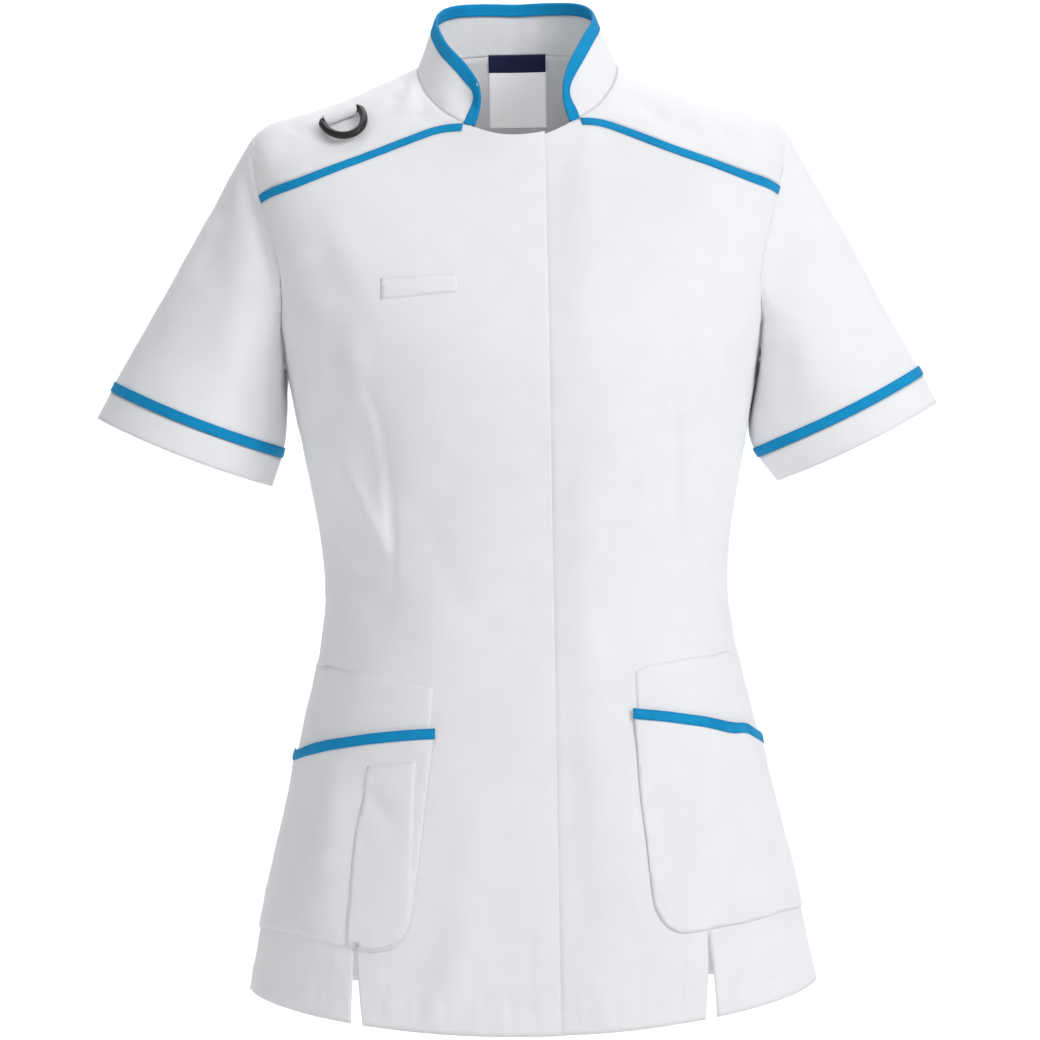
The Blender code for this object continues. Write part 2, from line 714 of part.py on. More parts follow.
class Tunic:
    """Builds each piece of the tunic from the shared seams."""

    def __init__(self):
        self.garment = Garment()
        self.seams = {side: Seams(side) for side in (-1, 1)}
        self.fronts = {side: self.front_panel(side) for side in (-1, 1)}
        self.back = self.back_panel()
        self.yokes = {side: self.yoke_panel(side) for side in (-1, 1)}
        self.sleeves = {side: self.sleeve_panel(side) for side in (-1, 1)}

    def label(self, side):
        """Word for one side of the wearer."""
        return "right" if side < 0 else "left"

    def hem_front(self, columns):
        """Hem of a front from the fly edge to the side seam, with one place at the vent."""
        vent = locate("xz", VENT.x, -0.728, (38.0, 0.004))[0]
        start = -float(fly_angle(0.0))
        self.vent_column = NECK_FRONT + 6
        inner = straight((start, 0.0), (vent, 0.0), self.vent_column)
        outer = straight((vent, 0.0), (90.0, 0.0), columns - self.vent_column)
        return np.concatenate([inner, outer[1:]])

    def front_panel(self, side):
        """One front: cells below the armhole, and cells beside it up to the yoke and neck."""
        seams = self.seams[side]
        wide = NECK_FRONT + YOKE_SEAM + LOW_ARM
        narrow = wide - LOW_ARM
        turn_level = float(seams.low_front[-1][1]) - 0.012
        fly_low = np.concatenate([seams.side[:3, 1],
                                  np.linspace(VENT.levels[-1], turn_level, BODY_ROWS + 1)[1:]])
        fly_high = np.append(np.linspace(turn_level, NECK_LEVEL - TRIM * 1.1, HIGH_ARM + 1),
                             NECK_LEVEL)
        fly_low = np.stack([-fly_angle(fly_low), fly_low], axis=1)
        fly_high = np.stack([-fly_angle(fly_high), fly_high], axis=1)
        divide = straight(fly_low[-1], seams.low_front[-1], narrow)
        low_top = np.concatenate([divide, seams.low_front[::-1][1:]])
        low = patch(self.hem_front(wide), low_top, fly_low, seams.side)
        top = np.concatenate([seams.neck_front, seams.front_seam[1:]])
        row = self.trim_row(top)
        row[0], row[-1] = fly_high[-2], seams.high_front[-2]
        sides = (divide, row, fly_high[:-1], seams.high_front[:-1])
        high = self.even_front(patch(*sides), sides)
        high = np.concatenate([high, top[None]])
        places = np.full((low.shape[0] + high.shape[0] - 1, wide + 1, 2), np.nan)
        places[:low.shape[0]] = low
        places[low.shape[0]:, :narrow + 1] = high[1:]
        lower_rows = low.shape[0] - 1
        return self.side_panel(places, side, narrow, lower_rows)

    def side_panel(self, places, side, narrow, lower_rows):
        """Panel of one half from its places; the right half is mirrored."""
        wide = places.shape[1] - 1
        if side < 0:
            places = places[:, ::-1] * np.array([-1.0, 1.0])
        known = ~np.isnan(places[..., 0])
        points = np.zeros(places.shape[:2] + (3,))
        points[known] = cloth_point(places[known][:, 0], places[known][:, 1])
        if side > 0:
            points[known] = self.lap_under(points[known], places[known])

        def missing(column, row):
            reach = column if side > 0 else wide - column
            return row > lower_rows and reach > narrow

        return Panel(points, missing)

    def lap_under(self, points, places):
        """Lower front: its edge lies inside the upper front."""
        ramp = (points[:, 0] - LAP_RAMP[0]) / (LAP_RAMP[1] - LAP_RAMP[0])
        ramp = np.clip(ramp, 0, 1)
        drop = LAP_DROP * (1 - ramp * ramp * (3 - 2 * ramp))
        return points - torso_normal(places[:, 0], places[:, 1]) * drop[:, None]

    def even_front(self, places, sides):
        """Spread the inner places of a patch evenly as seen from the front."""
        flat = [torso_point(side[:, 0], side[:, 1])[:, [0, 2]] for side in sides]
        aims = patch(*flat)
        for row in range(1, places.shape[0] - 1):
            for column in range(1, places.shape[1] - 1):
                aim = aims[row, column]
                places[row, column] = locate("xz", aim[0], aim[1], places[row, column])
        return places

    def trim_row(self, top):
        """Places the width of the trim below the top edge of a front."""
        points = torso_point(top[:, 0], top[:, 1])
        run = np.gradient(points, axis=0)
        down = np.cross(run, torso_normal(top[:, 0], top[:, 1]))
        down *= TRIM / np.linalg.norm(down, axis=1, keepdims=True)
        by_angle = (torso_point(top[:, 0] + 0.02, top[:, 1]) - points) / 0.02
        by_level = (points - torso_point(top[:, 0], top[:, 1] - 0.0002)) / 0.0002
        shifts = [np.linalg.lstsq(np.stack(axes, axis=1), aim, rcond=None)[0]
                  for axes, aim in zip(zip(by_angle, by_level), down)]
        return top + np.array(shifts)

    def back_panel(self):
        """The back in one piece, from the left side seam round to the right one."""
        seams = self.seams[1]
        wide = 2 * (LOW_ARM + YOKE_SEAM) + NECK_BACK
        turn = seams.low_back[0]
        other = np.array([360.0, 0.0])
        flip = np.array([-1.0, 1.0])
        middle = straight(turn, turn * flip + other, wide - 2 * LOW_ARM)
        sag = np.sin(np.linspace(0, math.pi, len(middle))) * 0.012
        middle[:, 1] -= sag
        low_left = seams.low_back[::-1]
        low_right = seams.low_back * flip + other
        low_top = np.concatenate([low_left[:-1], middle, low_right[1:]])
        hem = straight((90.0, 0.0), (270.0, 0.0), wide)
        low = patch(hem, low_top, seams.side, seams.side * flip + other)
        top_left = seams.back_seam[::-1]
        top_right = seams.back_seam * flip + other
        top = np.concatenate([top_left[:-1], seams.neck_back, top_right[1:]])
        left = seams.high_back[::-1]
        high = patch(middle, top, left, left * flip + other)
        places = np.full((low.shape[0] + high.shape[0] - 1, wide + 1, 2), np.nan)
        places[:low.shape[0]] = low
        places[low.shape[0]:, LOW_ARM:wide + 1 - LOW_ARM] = high[1:]
        known = ~np.isnan(places[..., 0])
        points = np.zeros(places.shape[:2] + (3,))
        points[known] = cloth_point(places[known][:, 0], places[known][:, 1])
        lower_rows = low.shape[0] - 1

        def missing(column, row):
            return row > lower_rows and not LOW_ARM < column < wide - LOW_ARM

        return Panel(points, missing)

    def yoke_panel(self, side):
        """Shoulder yoke: columns from the front seam to the back one, rows up to the neck."""
        seams = self.seams[side]
        places = patch(seams.over_yoke, seams.neck_yoke,
                       seams.front_seam[::-1], seams.back_seam[::-1])
        if side < 0:
            places = places[:, ::-1] * np.array([-1.0, 1.0])
        return Panel(cloth_point(places[..., 0], places[..., 1]))

    def armhole_ring(self, side):
        """Places of the whole armhole, from the underarm up the front and down the back."""
        seams = self.seams[side]
        parts = [seams.low_front[:-1], seams.high_front[:-1], seams.over_yoke[:-1],
                 seams.high_back[:-1], seams.low_back]
        ring = np.concatenate(parts)
        return ring if side > 0 else ring * np.array([-1.0, 1.0])

    def sleeve_hem(self, side, share):
        """Points of a sleeve's hem, drawn on the left; share 0 is inside and 0.5 outside."""
        hem = SLEEVE_HEMS[side]
        outer = np.array([hem.outer[0], 0.0, hem.outer[1]])
        inner = np.array([hem.inner[0], 0.0, hem.inner[1]])
        run = (outer - inner) / 2
        axis = np.cross([0.0, 1.0, 0.0], run / np.linalg.norm(run))
        turn = 2 * np.pi * share
        front = np.array([0.0, -SLEEVE_HEM_HALF_DEPTH, 0.0])
        cosine = np.cos(turn)[:, None]
        sine = np.sin(turn)[:, None]
        ring = (outer + inner) / 2 - cosine * run + sine * front
        return ring + axis * SLEEVE_HEM_DIP * sine**2, axis

    def sleeve_panel(self, side):
        """Sleeve tube: columns round the armhole, rows from the hem up to the armhole."""
        ring = np.abs(self.armhole_ring(side))
        start = cloth_point(ring[:, 0] * side, ring[:, 1]) * np.array([side, 1.0, 1.0])
        normal = torso_normal(ring[:, 0], ring[:, 1])
        steps = np.linalg.norm(np.diff(start, axis=0), axis=1)
        share = np.concatenate([[0.0], np.cumsum(steps)]) / steps.sum()
        top = share[LOW_ARM + HIGH_ARM + 1 + YOKE_ARM // 2]
        halves = np.where(share < top, share / top, 1 + (share - top) / (1 - top)) / 2
        end, axis = self.sleeve_hem(side, (halves + np.linspace(0, 1, len(share))) / 2)
        chord = end - start
        length = np.linalg.norm(chord, axis=1, keepdims=True)
        seam = np.gradient(start, axis=0)
        seam[0] = seam[-1] = start[1] - start[-2]
        inward = np.cross(normal, seam)
        inward /= np.linalg.norm(inward, axis=1, keepdims=True)
        cover = np.clip(np.sum(chord / length * inward, axis=1), 0, 1)[:, None]
        leave = chord / length + SLEEVE_CAP_EASE * (1 - cover) * normal
        leave /= np.linalg.norm(leave, axis=1, keepdims=True)
        start = start + normal * SLEEVE_CLEAR * cover
        t = np.linspace(0, 1, 60)[:, None, None]
        pull = (0.16 + 0.30 * cover) * length * leave
        arrive = (0.5 + 0.7 * cover) * length * axis
        path = ((2 * t**3 - 3 * t**2 + 1) * start + (t**3 - 2 * t**2 + t) * pull
                + (3 * t**2 - 2 * t**3) * end + (t**3 - t**2) * arrive)
        path[..., 0] -= SLEEVE_HEMS[side].hang * (cover * np.sin(math.pi * t**1.3))[..., 0]
        rows = []
        for column in range(path.shape[1]):
            line = path[:, column]
            run = np.concatenate([[0.0], np.cumsum(np.linalg.norm(np.diff(line, axis=0), axis=1))])
            total = run[-1]
            upper = np.linspace(SLEEVE_GAP, total - CUFF - TRIM, SLEEVE_ROWS + 1)
            marks = np.concatenate([upper, [total - CUFF, total]])
            rows.append([[np.interp(mark, run, line[:, k]) for k in range(3)] for mark in marks])
        points = np.array(rows).transpose(1, 0, 2)[::-1].copy()
        self.clear_side(points)
        points[:, -1] = points[:, 0]
        if side < 0:
            points = points * np.array([-1.0, 1.0, 1.0])
        else:
            points = points[:, ::-1]
        return Panel(points)

    def clear_side(self, points):
        """Keep the hanging sleeve just outside the side of the torso."""
        for point in points.reshape(-1, 3):
            if point[0] < 0.21 and -0.36 < point[2] < -0.20 and abs(point[1]) < 0.10:
                guess = (90.0 + math.degrees(math.asin(point[1] / 0.15)), point[2] + 0.715)
                place = locate("yz", point[1], point[2], guess)
                point[0] = max(point[0], torso_point(*place)[0] + SLEEVE_CLEAR)

    def build_panels(self):
        """Fronts, back and yokes."""
        for side in (-1, 1):
            panel = self.fronts[side]
            mesh = panel.raise_mesh(panel.flat(), 0.0)
            column = self.vent_column if side > 0 else panel.columns - self.vent_column
            mesh.normal_update()
            open_vent(mesh, panel, column, VENT.half_open)
            self.close_and_add("front_" + self.label(side), mesh)
            yoke = self.yokes[side]
            mesh = yoke.raise_mesh(yoke.flat(), 0.0)
            self.close_and_add("yoke_" + self.label(side), mesh, gap=YOKE_INSET)
        self.close_and_add("back", self.back.raise_mesh(self.back.flat(), 0.0))

    def close_and_add(self, name, mesh, finish="white_cloth", wall=WALL, gap=SEAM_GAP / 2):
        """Leave the seam gap round a panel and add its wall."""
        mesh.normal_update()
        inset_border(mesh, gap)
        return self.garment.cloth(name, mesh, finish, wall)

    def tube(self, panel, low, high, lift=0.0):
        """Rows of a sleeve as a closed tube; its cells run the other way round, so it is turned."""
        mesh = panel.strip(-lift, (-1, panel.columns + 1), (low, high))
        bmesh.ops.remove_doubles(mesh, verts=mesh.verts[:], dist=0.0001)
        bmesh.ops.reverse_faces(mesh, faces=mesh.faces[:])
        mesh.normal_update()
        return mesh

    def build_sleeves(self):
        """Sleeves, cuffs and their trims."""
        for side in (-1, 1):
            panel = self.sleeves[side]
            seam = panel.normals[:, 0] + panel.normals[:, -1]
            seam /= np.linalg.norm(seam, axis=1, keepdims=True)
            panel.normals[:, 0] = seam
            panel.normals[:, -1] = seam
            word = self.label(side)
            self.close_and_add("sleeve_" + word, self.tube(panel, 1, panel.rows))
            self.close_and_add("cuff_" + word, self.tube(panel, 0, 1))
            trim = self.tube(panel, 1, 2, LAY_GAP)
            self.garment.cloth("sleeve_trim_" + word, trim, "blue_trim", PATCH_WALL, True)

    def build_yoke_trims(self):
        """Trim along the top of each front, from the neck to the armhole."""
        for side in (-1, 1):
            panel = self.fronts[side]
            first, last = NECK_FRONT, NECK_FRONT + YOKE_SEAM
            if side < 0:
                first, last = panel.columns - last, panel.columns - first
            mesh = panel.strip(LAY_GAP, (first, last), (panel.rows - 1, panel.rows))
            mesh.normal_update()
            inset_border(mesh, SEAM_GAP / 2)
            name = "yoke_trim_" + self.label(side)
            self.garment.cloth(name, mesh, "blue_trim", PATCH_WALL, True)

    def collar_half(self, side):
        """Base of one half of the collar and the table's values along it."""
        seams = self.seams[side]
        ring = np.concatenate([[seams.collar_end], seams.neck_yoke, seams.neck_back[1:]])
        ring = ring[ring[:, 0] <= 180.001]
        shape = np.array(COLLAR[side])
        base = cloth_point(ring[:, 0] * side, ring[:, 1])
        angles = np.insert(ring[:, 0], range(1, len(ring)), (ring[1:, 0] + ring[:-1, 0]) / 2)
        base = np.insert(base, range(1, len(base)), (base[1:] + base[:-1]) / 2, axis=0)
        return base, through(shape[:, 0], shape[:, 1:], angles)

    def build_collar(self):
        """Stand collar on the neckline, cut away in front, and the binding on its free edge."""
        left, left_shape = self.collar_half(1)
        right, right_shape = self.collar_half(-1)
        base = np.concatenate([left, right[::-1][1:]])
        rise, lean, bow = np.concatenate([left_shape, right_shape[::-1][1:]]).T[..., None]
        inward = np.zeros_like(base)
        inward[:, :2] = np.array(NECK_CENTRE) - base[:, :2]
        inward /= np.linalg.norm(inward, axis=1, keepdims=True)
        climb = inward * lean + np.array([0.0, 0.0, 1.0]) * rise
        first = COLLAR_SEAM / np.linalg.norm(climb, axis=1, keepdims=True)
        rows = []
        for row in range(COLLAR_ROWS + 1):
            share = first + (1 - first) * row / COLLAR_ROWS
            rows.append(base + climb * share + inward * bow * 4 * share * (1 - share))
        self.collar = Panel(np.array(rows))
        mesh = self.collar.raise_mesh(self.collar.flat(), 0.0)
        self.garment.cloth("collar", mesh, "white_cloth", COLLAR_WALL)
        self.build_binding()

    def build_binding(self):
        """Folded tape over the collar's front ends and top edge."""
        panel = self.collar
        low = BINDING_START * panel.rows
        up = [(0, low)] + [(0, row) for row in range(1, panel.rows)]
        top = [(column, panel.rows) for column in range(panel.columns + 1)]
        down = [(panel.columns, row) for row in range(panel.rows - 1, 0, -1)]
        rim = up + top + down + [(panel.columns, low)]
        places = np.array([panel.blend(panel.points, *place) for place in rim])
        steps = np.linalg.norm(np.diff(places, axis=0), axis=1)
        tangent = np.gradient(places, np.concatenate([[0.0], np.cumsum(steps)]), axis=0)
        spots = [(u, v) for v in np.linspace(low, panel.rows, 25)
                 for u in np.linspace(0, panel.columns, panel.columns * 8 + 1)]
        cloud = np.array([panel.blend(panel.points, u, v) for u, v in spots])
        inner = []
        outwards = []
        for place, (u, v), run in zip(places, rim, tangent):
            away = np.cross(panel.blend(panel.normals, u, v), run)
            away /= np.linalg.norm(away)
            outwards.append(away)
            far = np.linalg.norm(cloud - (place - away * TRIM), axis=1)
            inner.append(spots[int(np.argmin(far))])
        deep = COLLAR_WALL + 1.5 * BINDING_GAP
        rows = []
        for share, lift, over in ((1.0, BINDING_GAP + 0.0003, 0.0), (0.5, BINDING_GAP, 0.0),
                                  (0.0, BINDING_GAP, BINDING_GAP), (0.0, -deep, BINDING_GAP),
                                  (0.5, -deep - 0.0003, 0.0), (1.0, -deep - 0.0006, 0.0)):
            row = []
            for place, end, away in zip(rim, inner, outwards):
                u = place[0] + (end[0] - place[0]) * share
                v = place[1] + (end[1] - place[1]) * share
                point = panel.blend(panel.points, u, v) + lift * panel.blend(panel.normals, u, v)
                row.append(point + over * away)
            rows.append(row)
        binding = Panel(np.array(rows))
        mesh = binding.raise_mesh(binding.flat(), 0.0)
        self.garment.cloth("collar_binding", mesh, "blue_trim", PATCH_WALL, True)

    def side_place(self, side, z, inset=0.10):
        """Place in cells just inside the side seam of a front, at a height."""
        panel = self.fronts[side]
        column = panel.columns if side > 0 else 0
        rows = len(self.seams[side].side)
        row = np.interp(z, panel.points[:rows, column, 2], np.arange(rows))
        return (column - side * inset, float(row))

    def trace(self, side, line, out=None):
        """Places in cells of a line on a front, to the side seam where a height is given."""
        places = [self.fronts[side].find(side * x, z) for x, z in line]
        if out is not None:
            places.append(self.side_place(side, out))
        return places

    def layer(self, name, side, lift, outline, finish="white_cloth"):
        """Piece that lies on a front, inside an outline in cells."""
        mesh = self.fronts[side].piece(lift, outline)
        self.garment.cloth(name + self.label(side), mesh, finish, PATCH_WALL, True)

    def build_pockets(self):
        """Lower pockets with their trims, the pen pocket and the chest pocket's welt."""
        for pocket in POCKETS:
            side = pocket.side
            foot = self.trace(side, pocket.foot, pocket.foot_out)
            backing = self.trace(side, pocket.backing, pocket.backing_out)
            opening = self.trace(side, pocket.opening, pocket.opening_out)
            lower = [(x, z - TRIM) for x, z in pocket.opening]
            under = self.trace(side, lower, pocket.opening_out - TRIM)
            self.layer("pocket_backing_", side, LAY_GAP, foot + backing[::-1])
            self.layer("pocket_", side, PATCH_LIFT, foot + opening[::-1])
            self.layer("pocket_trim_", side, TOP_LIFT, under + opening[::-1], "blue_trim")
        self.layer("pen_pocket_", -1, TOP_LIFT, self.trace(-1, PEN_POCKET))
        self.layer("chest_pocket_welt_", -1, LAY_GAP, self.trace(-1, WELT))

    def build_label(self):
        """Label sewn in at the neck seam, inside the back."""
        panel = self.back
        low = [panel.find(sign * LABEL_HALF_WIDTH, LABEL_BOTTOM) for sign in (1, -1)]
        z = float(panel.points[-1, panel.columns // 2, 2]) - 0.0022
        high = [panel.find(sign * LABEL_HALF_WIDTH, z) for sign in (-1, 1)]
        mesh = panel.piece(-(WALL + LAY_GAP), low + high)
        self.garment.cloth("neck_label", mesh, "label", PATCH_WALL)

    def build_poppers(self):
        """Poppers between the two fronts, down the centre line."""
        for index in range(POPPER_COUNT):
            z = POPPER_TOP - POPPER_PITCH * index
            upper = self.fronts[-1]
            under = self.fronts[1]
            place = upper.find(0.0, z)
            normal = upper.blend(upper.normals, *place)
            normal /= np.linalg.norm(normal)
            outer = upper.blend(upper.points, *place) - normal * WALL
            inner = under.blend(under.points, *under.find(0.0, z))
            gap = (outer - inner) @ normal
            turn = Vector(normal).to_track_quat("Z", "Y").to_euler()
            bpy.ops.mesh.primitive_cylinder_add(vertices=16, radius=POPPER_RADIUS,
                                                depth=POPPER_HEIGHT,
                                                location=Vector(outer - normal * gap / 2),
                                                rotation=turn)
            item = bpy.context.object
            item.name = f"popper_{index + 1}"
            item.data.name = item.name
            self.garment.adopt(item, "popper")

    def ring_frame(self):
        """Centre of the ring's bar, the bar's direction, the way the ring hangs, and outwards."""
        yoke = self.yokes[-1]
        ends = []
        for x, z in RING_BAR_ENDS:
            ends.append(yoke.blend(yoke.points, *yoke.find(-x, z)))
        bar = Vector(ends[1] - ends[0]).normalized()
        middle = Vector((ends[0] + ends[1]) / 2)
        mesh = yoke.raise_mesh(yoke.flat(), 0.0)
        self.yoke_tree = BVHTree.FromBMesh(mesh)
        mesh.free()
        normal = self.yoke_tree.find_nearest(middle)[1]
        if normal.z < 0:
            normal.negate()
        out = (normal - bar * normal.dot(bar)).normalized()
        hang = bar.cross(out)
        if hang.y > 0:
            hang.negate()
        bulge = 0.0
        for across in (-0.011, -0.005, 0.0, 0.005, 0.011):
            for along in (-0.003, 0.0, 0.003):
                spot = self.on_yoke(middle + bar * across + hang * along, out)
                bulge = max(bulge, (spot - middle).dot(out))
        lift = RING_WIRE + BAR_GAP + PATCH_WALL + LAY_GAP + bulge
        return middle + out * lift, bar, hang, out

    def on_yoke(self, place, out):
        """Point of the right yoke straight under a place."""
        return self.yoke_tree.ray_cast(place + out * 0.03, -out)[0]

    def ring_line(self):
        """Closed centre line of the D, from its bar's middle, in bar and reach directions."""
        half, corner = RING_HALF_BAR, RING_CORNER
        points = []
        for turn in (0, 30, 60, 90):
            angle = math.radians(turn)
            points.append((half - corner + corner * math.sin(angle),
                           corner - corner * math.cos(angle)))
        for turn in range(0, 181, 12):
            angle = math.radians(turn)
            leg = RING_CORNER + 0.002
            points.append((half * math.cos(angle), leg + (RING_REACH - leg) * math.sin(angle)))
        for x, reach in points[3::-1]:
            points.append((-x, reach))
        return points

    def build_ring(self):
        """Plastic D-ring that swings on its bar, and the tab folded round the bar."""
        centre, bar, hang, out = self.ring_frame()
        line = self.ring_line()
        lean = 25.0
        while lean > -40.0:
            angle = math.radians(lean)
            reach = hang * math.cos(angle) + out * math.sin(angle)
            places = [centre + bar * x + reach * y for x, y in line]
            near = min(self.yoke_tree.find_nearest(place)[3] for place in places)
            if near < RING_WIRE + RING_CLEARANCE:
                break
            lean -= 0.25
        angle = math.radians(lean + 0.5)
        reach = hang * math.cos(angle) + out * math.sin(angle)
        curve = bpy.data.curves.new("d_ring", "CURVE")
        curve.dimensions = "3D"
        curve.bevel_depth = RING_WIRE
        curve.bevel_resolution = 2
        spline = curve.splines.new("POLY")
        spline.points.add(len(line) - 1)
        for point, (x, y) in zip(spline.points, line):
            point.co = (x, y, 0.0, 1.0)
        spline.use_cyclic_u = True
        spline.use_smooth = True
        item = bpy.data.objects.new("d_ring", curve)
        turn = Matrix((bar, reach, bar.cross(reach))).transposed()
        item.location = centre
        item.rotation_euler = turn.to_euler()
        self.garment.adopt(item, "black_plastic")
        self.build_tab(centre, bar, hang, out)

    def build_tab(self, centre, bar, hang, out):
        """Strip that lies on the yoke, folds round the bar and lies back on itself."""
        radius = RING_WIRE + BAR_GAP
        floor = TAB_LIFT + PATCH_WALL
        section = [(-back, floor, 0.0) for back in TAB_LOWER]
        for turn in TAB_TURN:
            angle = math.radians(turn)
            section.append((radius * math.cos(angle), 0.0, radius * math.sin(angle)))
        section += [(-back, floor + LAY_GAP, 0.0) for back in TAB_UPPER]
        rows = []
        for along, lift, rise in section:
            row = []
            for across in np.linspace(TAB_HALF_WIDTH, -TAB_HALF_WIDTH, 5):
                place = centre + bar * across + hang * along
                if lift:
                    place = self.on_yoke(place, out) + out * lift
                row.append(place + out * rise)
            rows.append(row)
        tab = Panel(np.array(rows))
        mesh = tab.raise_mesh(tab.flat(), 0.0)
        mesh.normal_update()
        front = max(mesh.faces, key=lambda face: face.calc_center_median().dot(hang))
        if front.normal.dot(hang) < 0:
            bmesh.ops.reverse_faces(mesh, faces=mesh.faces[:])
        self.garment.cloth("d_ring_tab", mesh, "white_cloth", PATCH_WALL, True)


def main():
    """Build the tunic."""
    tunic = Tunic()
    tunic.build_panels()
    tunic.build_sleeves()
    tunic.build_yoke_trims()
    tunic.build_collar()
    tunic.build_pockets()
    tunic.build_label()
    tunic.build_poppers()
    tunic.build_ring()


main()
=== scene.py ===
"""Looks of a short-sleeved medical tunic: dense cloth, creases, seams, stitching and studio light."""
from __future__ import annotations

import logging
import math
from dataclasses import dataclass, field
from enum import Enum
from typing import Iterable, Sequence

import bmesh
import bpy
import numpy as np
from mathutils import Matrix, Vector
from mathutils.bvhtree import BVHTree
from mathutils.geometry import delaunay_2d_cdt

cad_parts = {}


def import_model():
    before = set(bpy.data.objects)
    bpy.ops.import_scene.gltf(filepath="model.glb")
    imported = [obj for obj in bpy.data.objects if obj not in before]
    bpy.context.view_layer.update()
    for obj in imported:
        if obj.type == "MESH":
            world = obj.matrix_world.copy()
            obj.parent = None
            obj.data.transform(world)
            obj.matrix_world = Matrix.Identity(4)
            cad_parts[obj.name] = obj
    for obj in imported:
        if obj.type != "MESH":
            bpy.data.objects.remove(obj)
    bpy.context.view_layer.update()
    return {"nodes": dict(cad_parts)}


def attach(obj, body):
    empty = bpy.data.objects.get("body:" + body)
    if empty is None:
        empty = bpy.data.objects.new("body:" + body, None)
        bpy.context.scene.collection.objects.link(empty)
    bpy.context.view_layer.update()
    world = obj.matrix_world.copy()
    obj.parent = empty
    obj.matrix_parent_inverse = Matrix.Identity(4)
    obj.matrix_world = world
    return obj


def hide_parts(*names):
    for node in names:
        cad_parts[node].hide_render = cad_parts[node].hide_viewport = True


LOG = logging.getLogger("tunic")
AXIS_Y = -0.008           # the torso's own axis runs up through (0, AXIS_Y)
GIRTH = 0.17              # metres of cloth a radian round the torso, for flat patterns
CLOTH = 0.0007            # thickness of one layer as it is shown
SAME_SIDE = 0.35          # cosine of the sharpest turn between tiles of one side of a wall
SEAM_REACH = 0.0030       # two edges closer than this are sewn together
TENTHS = 10000            # tenths of a millimetre in a metre
HEM_TOP = -0.66           # a free edge below this height is hem
HEM_BAND = 0.0185         # depth of the turned-up hem
SINGLE = (0.0015,)        # distances from a seam of its rows of stitches
DOUBLE = (0.0015, 0.0075)
SIDES = ("right", "left")
BODY = "tunic"


class Slot(Enum):
    """Kinds of material of the pieces."""

    WHITE = "white_cloth"
    BLUE = "blue_trim"
    LABEL = "label_satin"
    BLACK = "black_plastic"


class Face(Enum):
    """Side of the tunic that a crease lies on."""

    FRONT = "front"
    BACK = "back"
    SLEEVE_RIGHT = "sleeve_right"
    SLEEVE_LEFT = "sleeve_left"
    YOKE = "yoke"


@dataclass(frozen=True)
class ClothFinish:
    """Woven cloth: two near shades, a soft sheen, a fine weave and, where set, a painted glow that
    stands in for light.
    """

    name: str
    light: tuple[float, float, float]
    dark: tuple[float, float, float]
    roughness: float = 0.82
    sheen: float = 0.18
    weave: float = 0.10
    weave_pitch: float = 0.0009
    # Painted light: strength of a white emission that makes the cloth glow as if lit, though it is no
    # lamp.
    glow: float = 0.0

    def material(self) -> bpy.types.Material:
        """Build the material.

        Returns:
            A procedural material that follows the object's own coordinates.
        """
        item = bpy.data.materials.new(self.name)
        item.use_nodes = True
        tree = item.node_tree
        shader = tree.nodes["Principled BSDF"]
        shader.inputs["Roughness"].default_value = self.roughness
        shader.inputs["Sheen Weight"].default_value = self.sheen
        shader.inputs["Sheen Roughness"].default_value = 0.5
        shader.inputs["Specular IOR Level"].default_value = 0.25
        # Painted light: a white emission brightens the cloth as if more light fell on it.
        if self.glow:
            shader.inputs["Emission Color"].default_value = (1.0, 1.0, 1.0, 1.0)
            shader.inputs["Emission Strength"].default_value = self.glow
        place = tree.nodes.new("ShaderNodeTexCoord")
        mottle = tree.nodes.new("ShaderNodeTexNoise")
        mottle.inputs["Scale"].default_value = 45.0
        mottle.inputs["Detail"].default_value = 4.0
        tree.links.new(place.outputs["Object"], mottle.inputs["Vector"])
        ramp = tree.nodes.new("ShaderNodeValToRGB")
        ramp.color_ramp.elements[0].position = 0.30
        ramp.color_ramp.elements[0].color = (*self.dark, 1.0)
        ramp.color_ramp.elements[1].position = 0.70
        ramp.color_ramp.elements[1].color = (*self.light, 1.0)
        tree.links.new(mottle.outputs["Fac"], ramp.inputs["Fac"])
        tree.links.new(ramp.outputs["Color"], shader.inputs["Base Color"])
        height = self._threads(tree, place)
        bump = tree.nodes.new("ShaderNodeBump")
        bump.inputs["Strength"].default_value = self.weave
        bump.inputs["Distance"].default_value = 0.0003
        tree.links.new(height, bump.inputs["Height"])
        tree.links.new(bump.outputs["Normal"], shader.inputs["Normal"])
        return item

    def _threads(self, tree: bpy.types.NodeTree, place: bpy.types.Node) -> bpy.types.NodeSocket:
        """Add warp, weft and a little slub.

        Args:
            tree: The material's nodes.
            place: The texture coordinate node.

        Returns:
            The height socket.
        """
        total = None
        for direction in ("X", "Z"):
            wave = tree.nodes.new("ShaderNodeTexWave")
            wave.bands_direction = direction
            wave.inputs["Scale"].default_value = 0.314 / self.weave_pitch
            wave.inputs["Distortion"].default_value = 0.6
            tree.links.new(place.outputs["Object"], wave.inputs["Vector"])
            if total is None:
                total = wave.outputs["Fac"]
                continue
            both = tree.nodes.new("ShaderNodeMath")
            both.operation = "ADD"
            tree.links.new(total, both.inputs[0])
            tree.links.new(wave.outputs["Fac"], both.inputs[1])
            total = both.outputs[0]
        slub = tree.nodes.new("ShaderNodeTexNoise")
        slub.inputs["Scale"].default_value = 420.0
        slub.inputs["Detail"].default_value = 3.0
        tree.links.new(place.outputs["Object"], slub.inputs["Vector"])
        more = tree.nodes.new("ShaderNodeMath")
        more.operation = "ADD"
        tree.links.new(total, more.inputs[0])
        tree.links.new(slub.outputs["Fac"], more.inputs[1])
        return more.outputs[0]


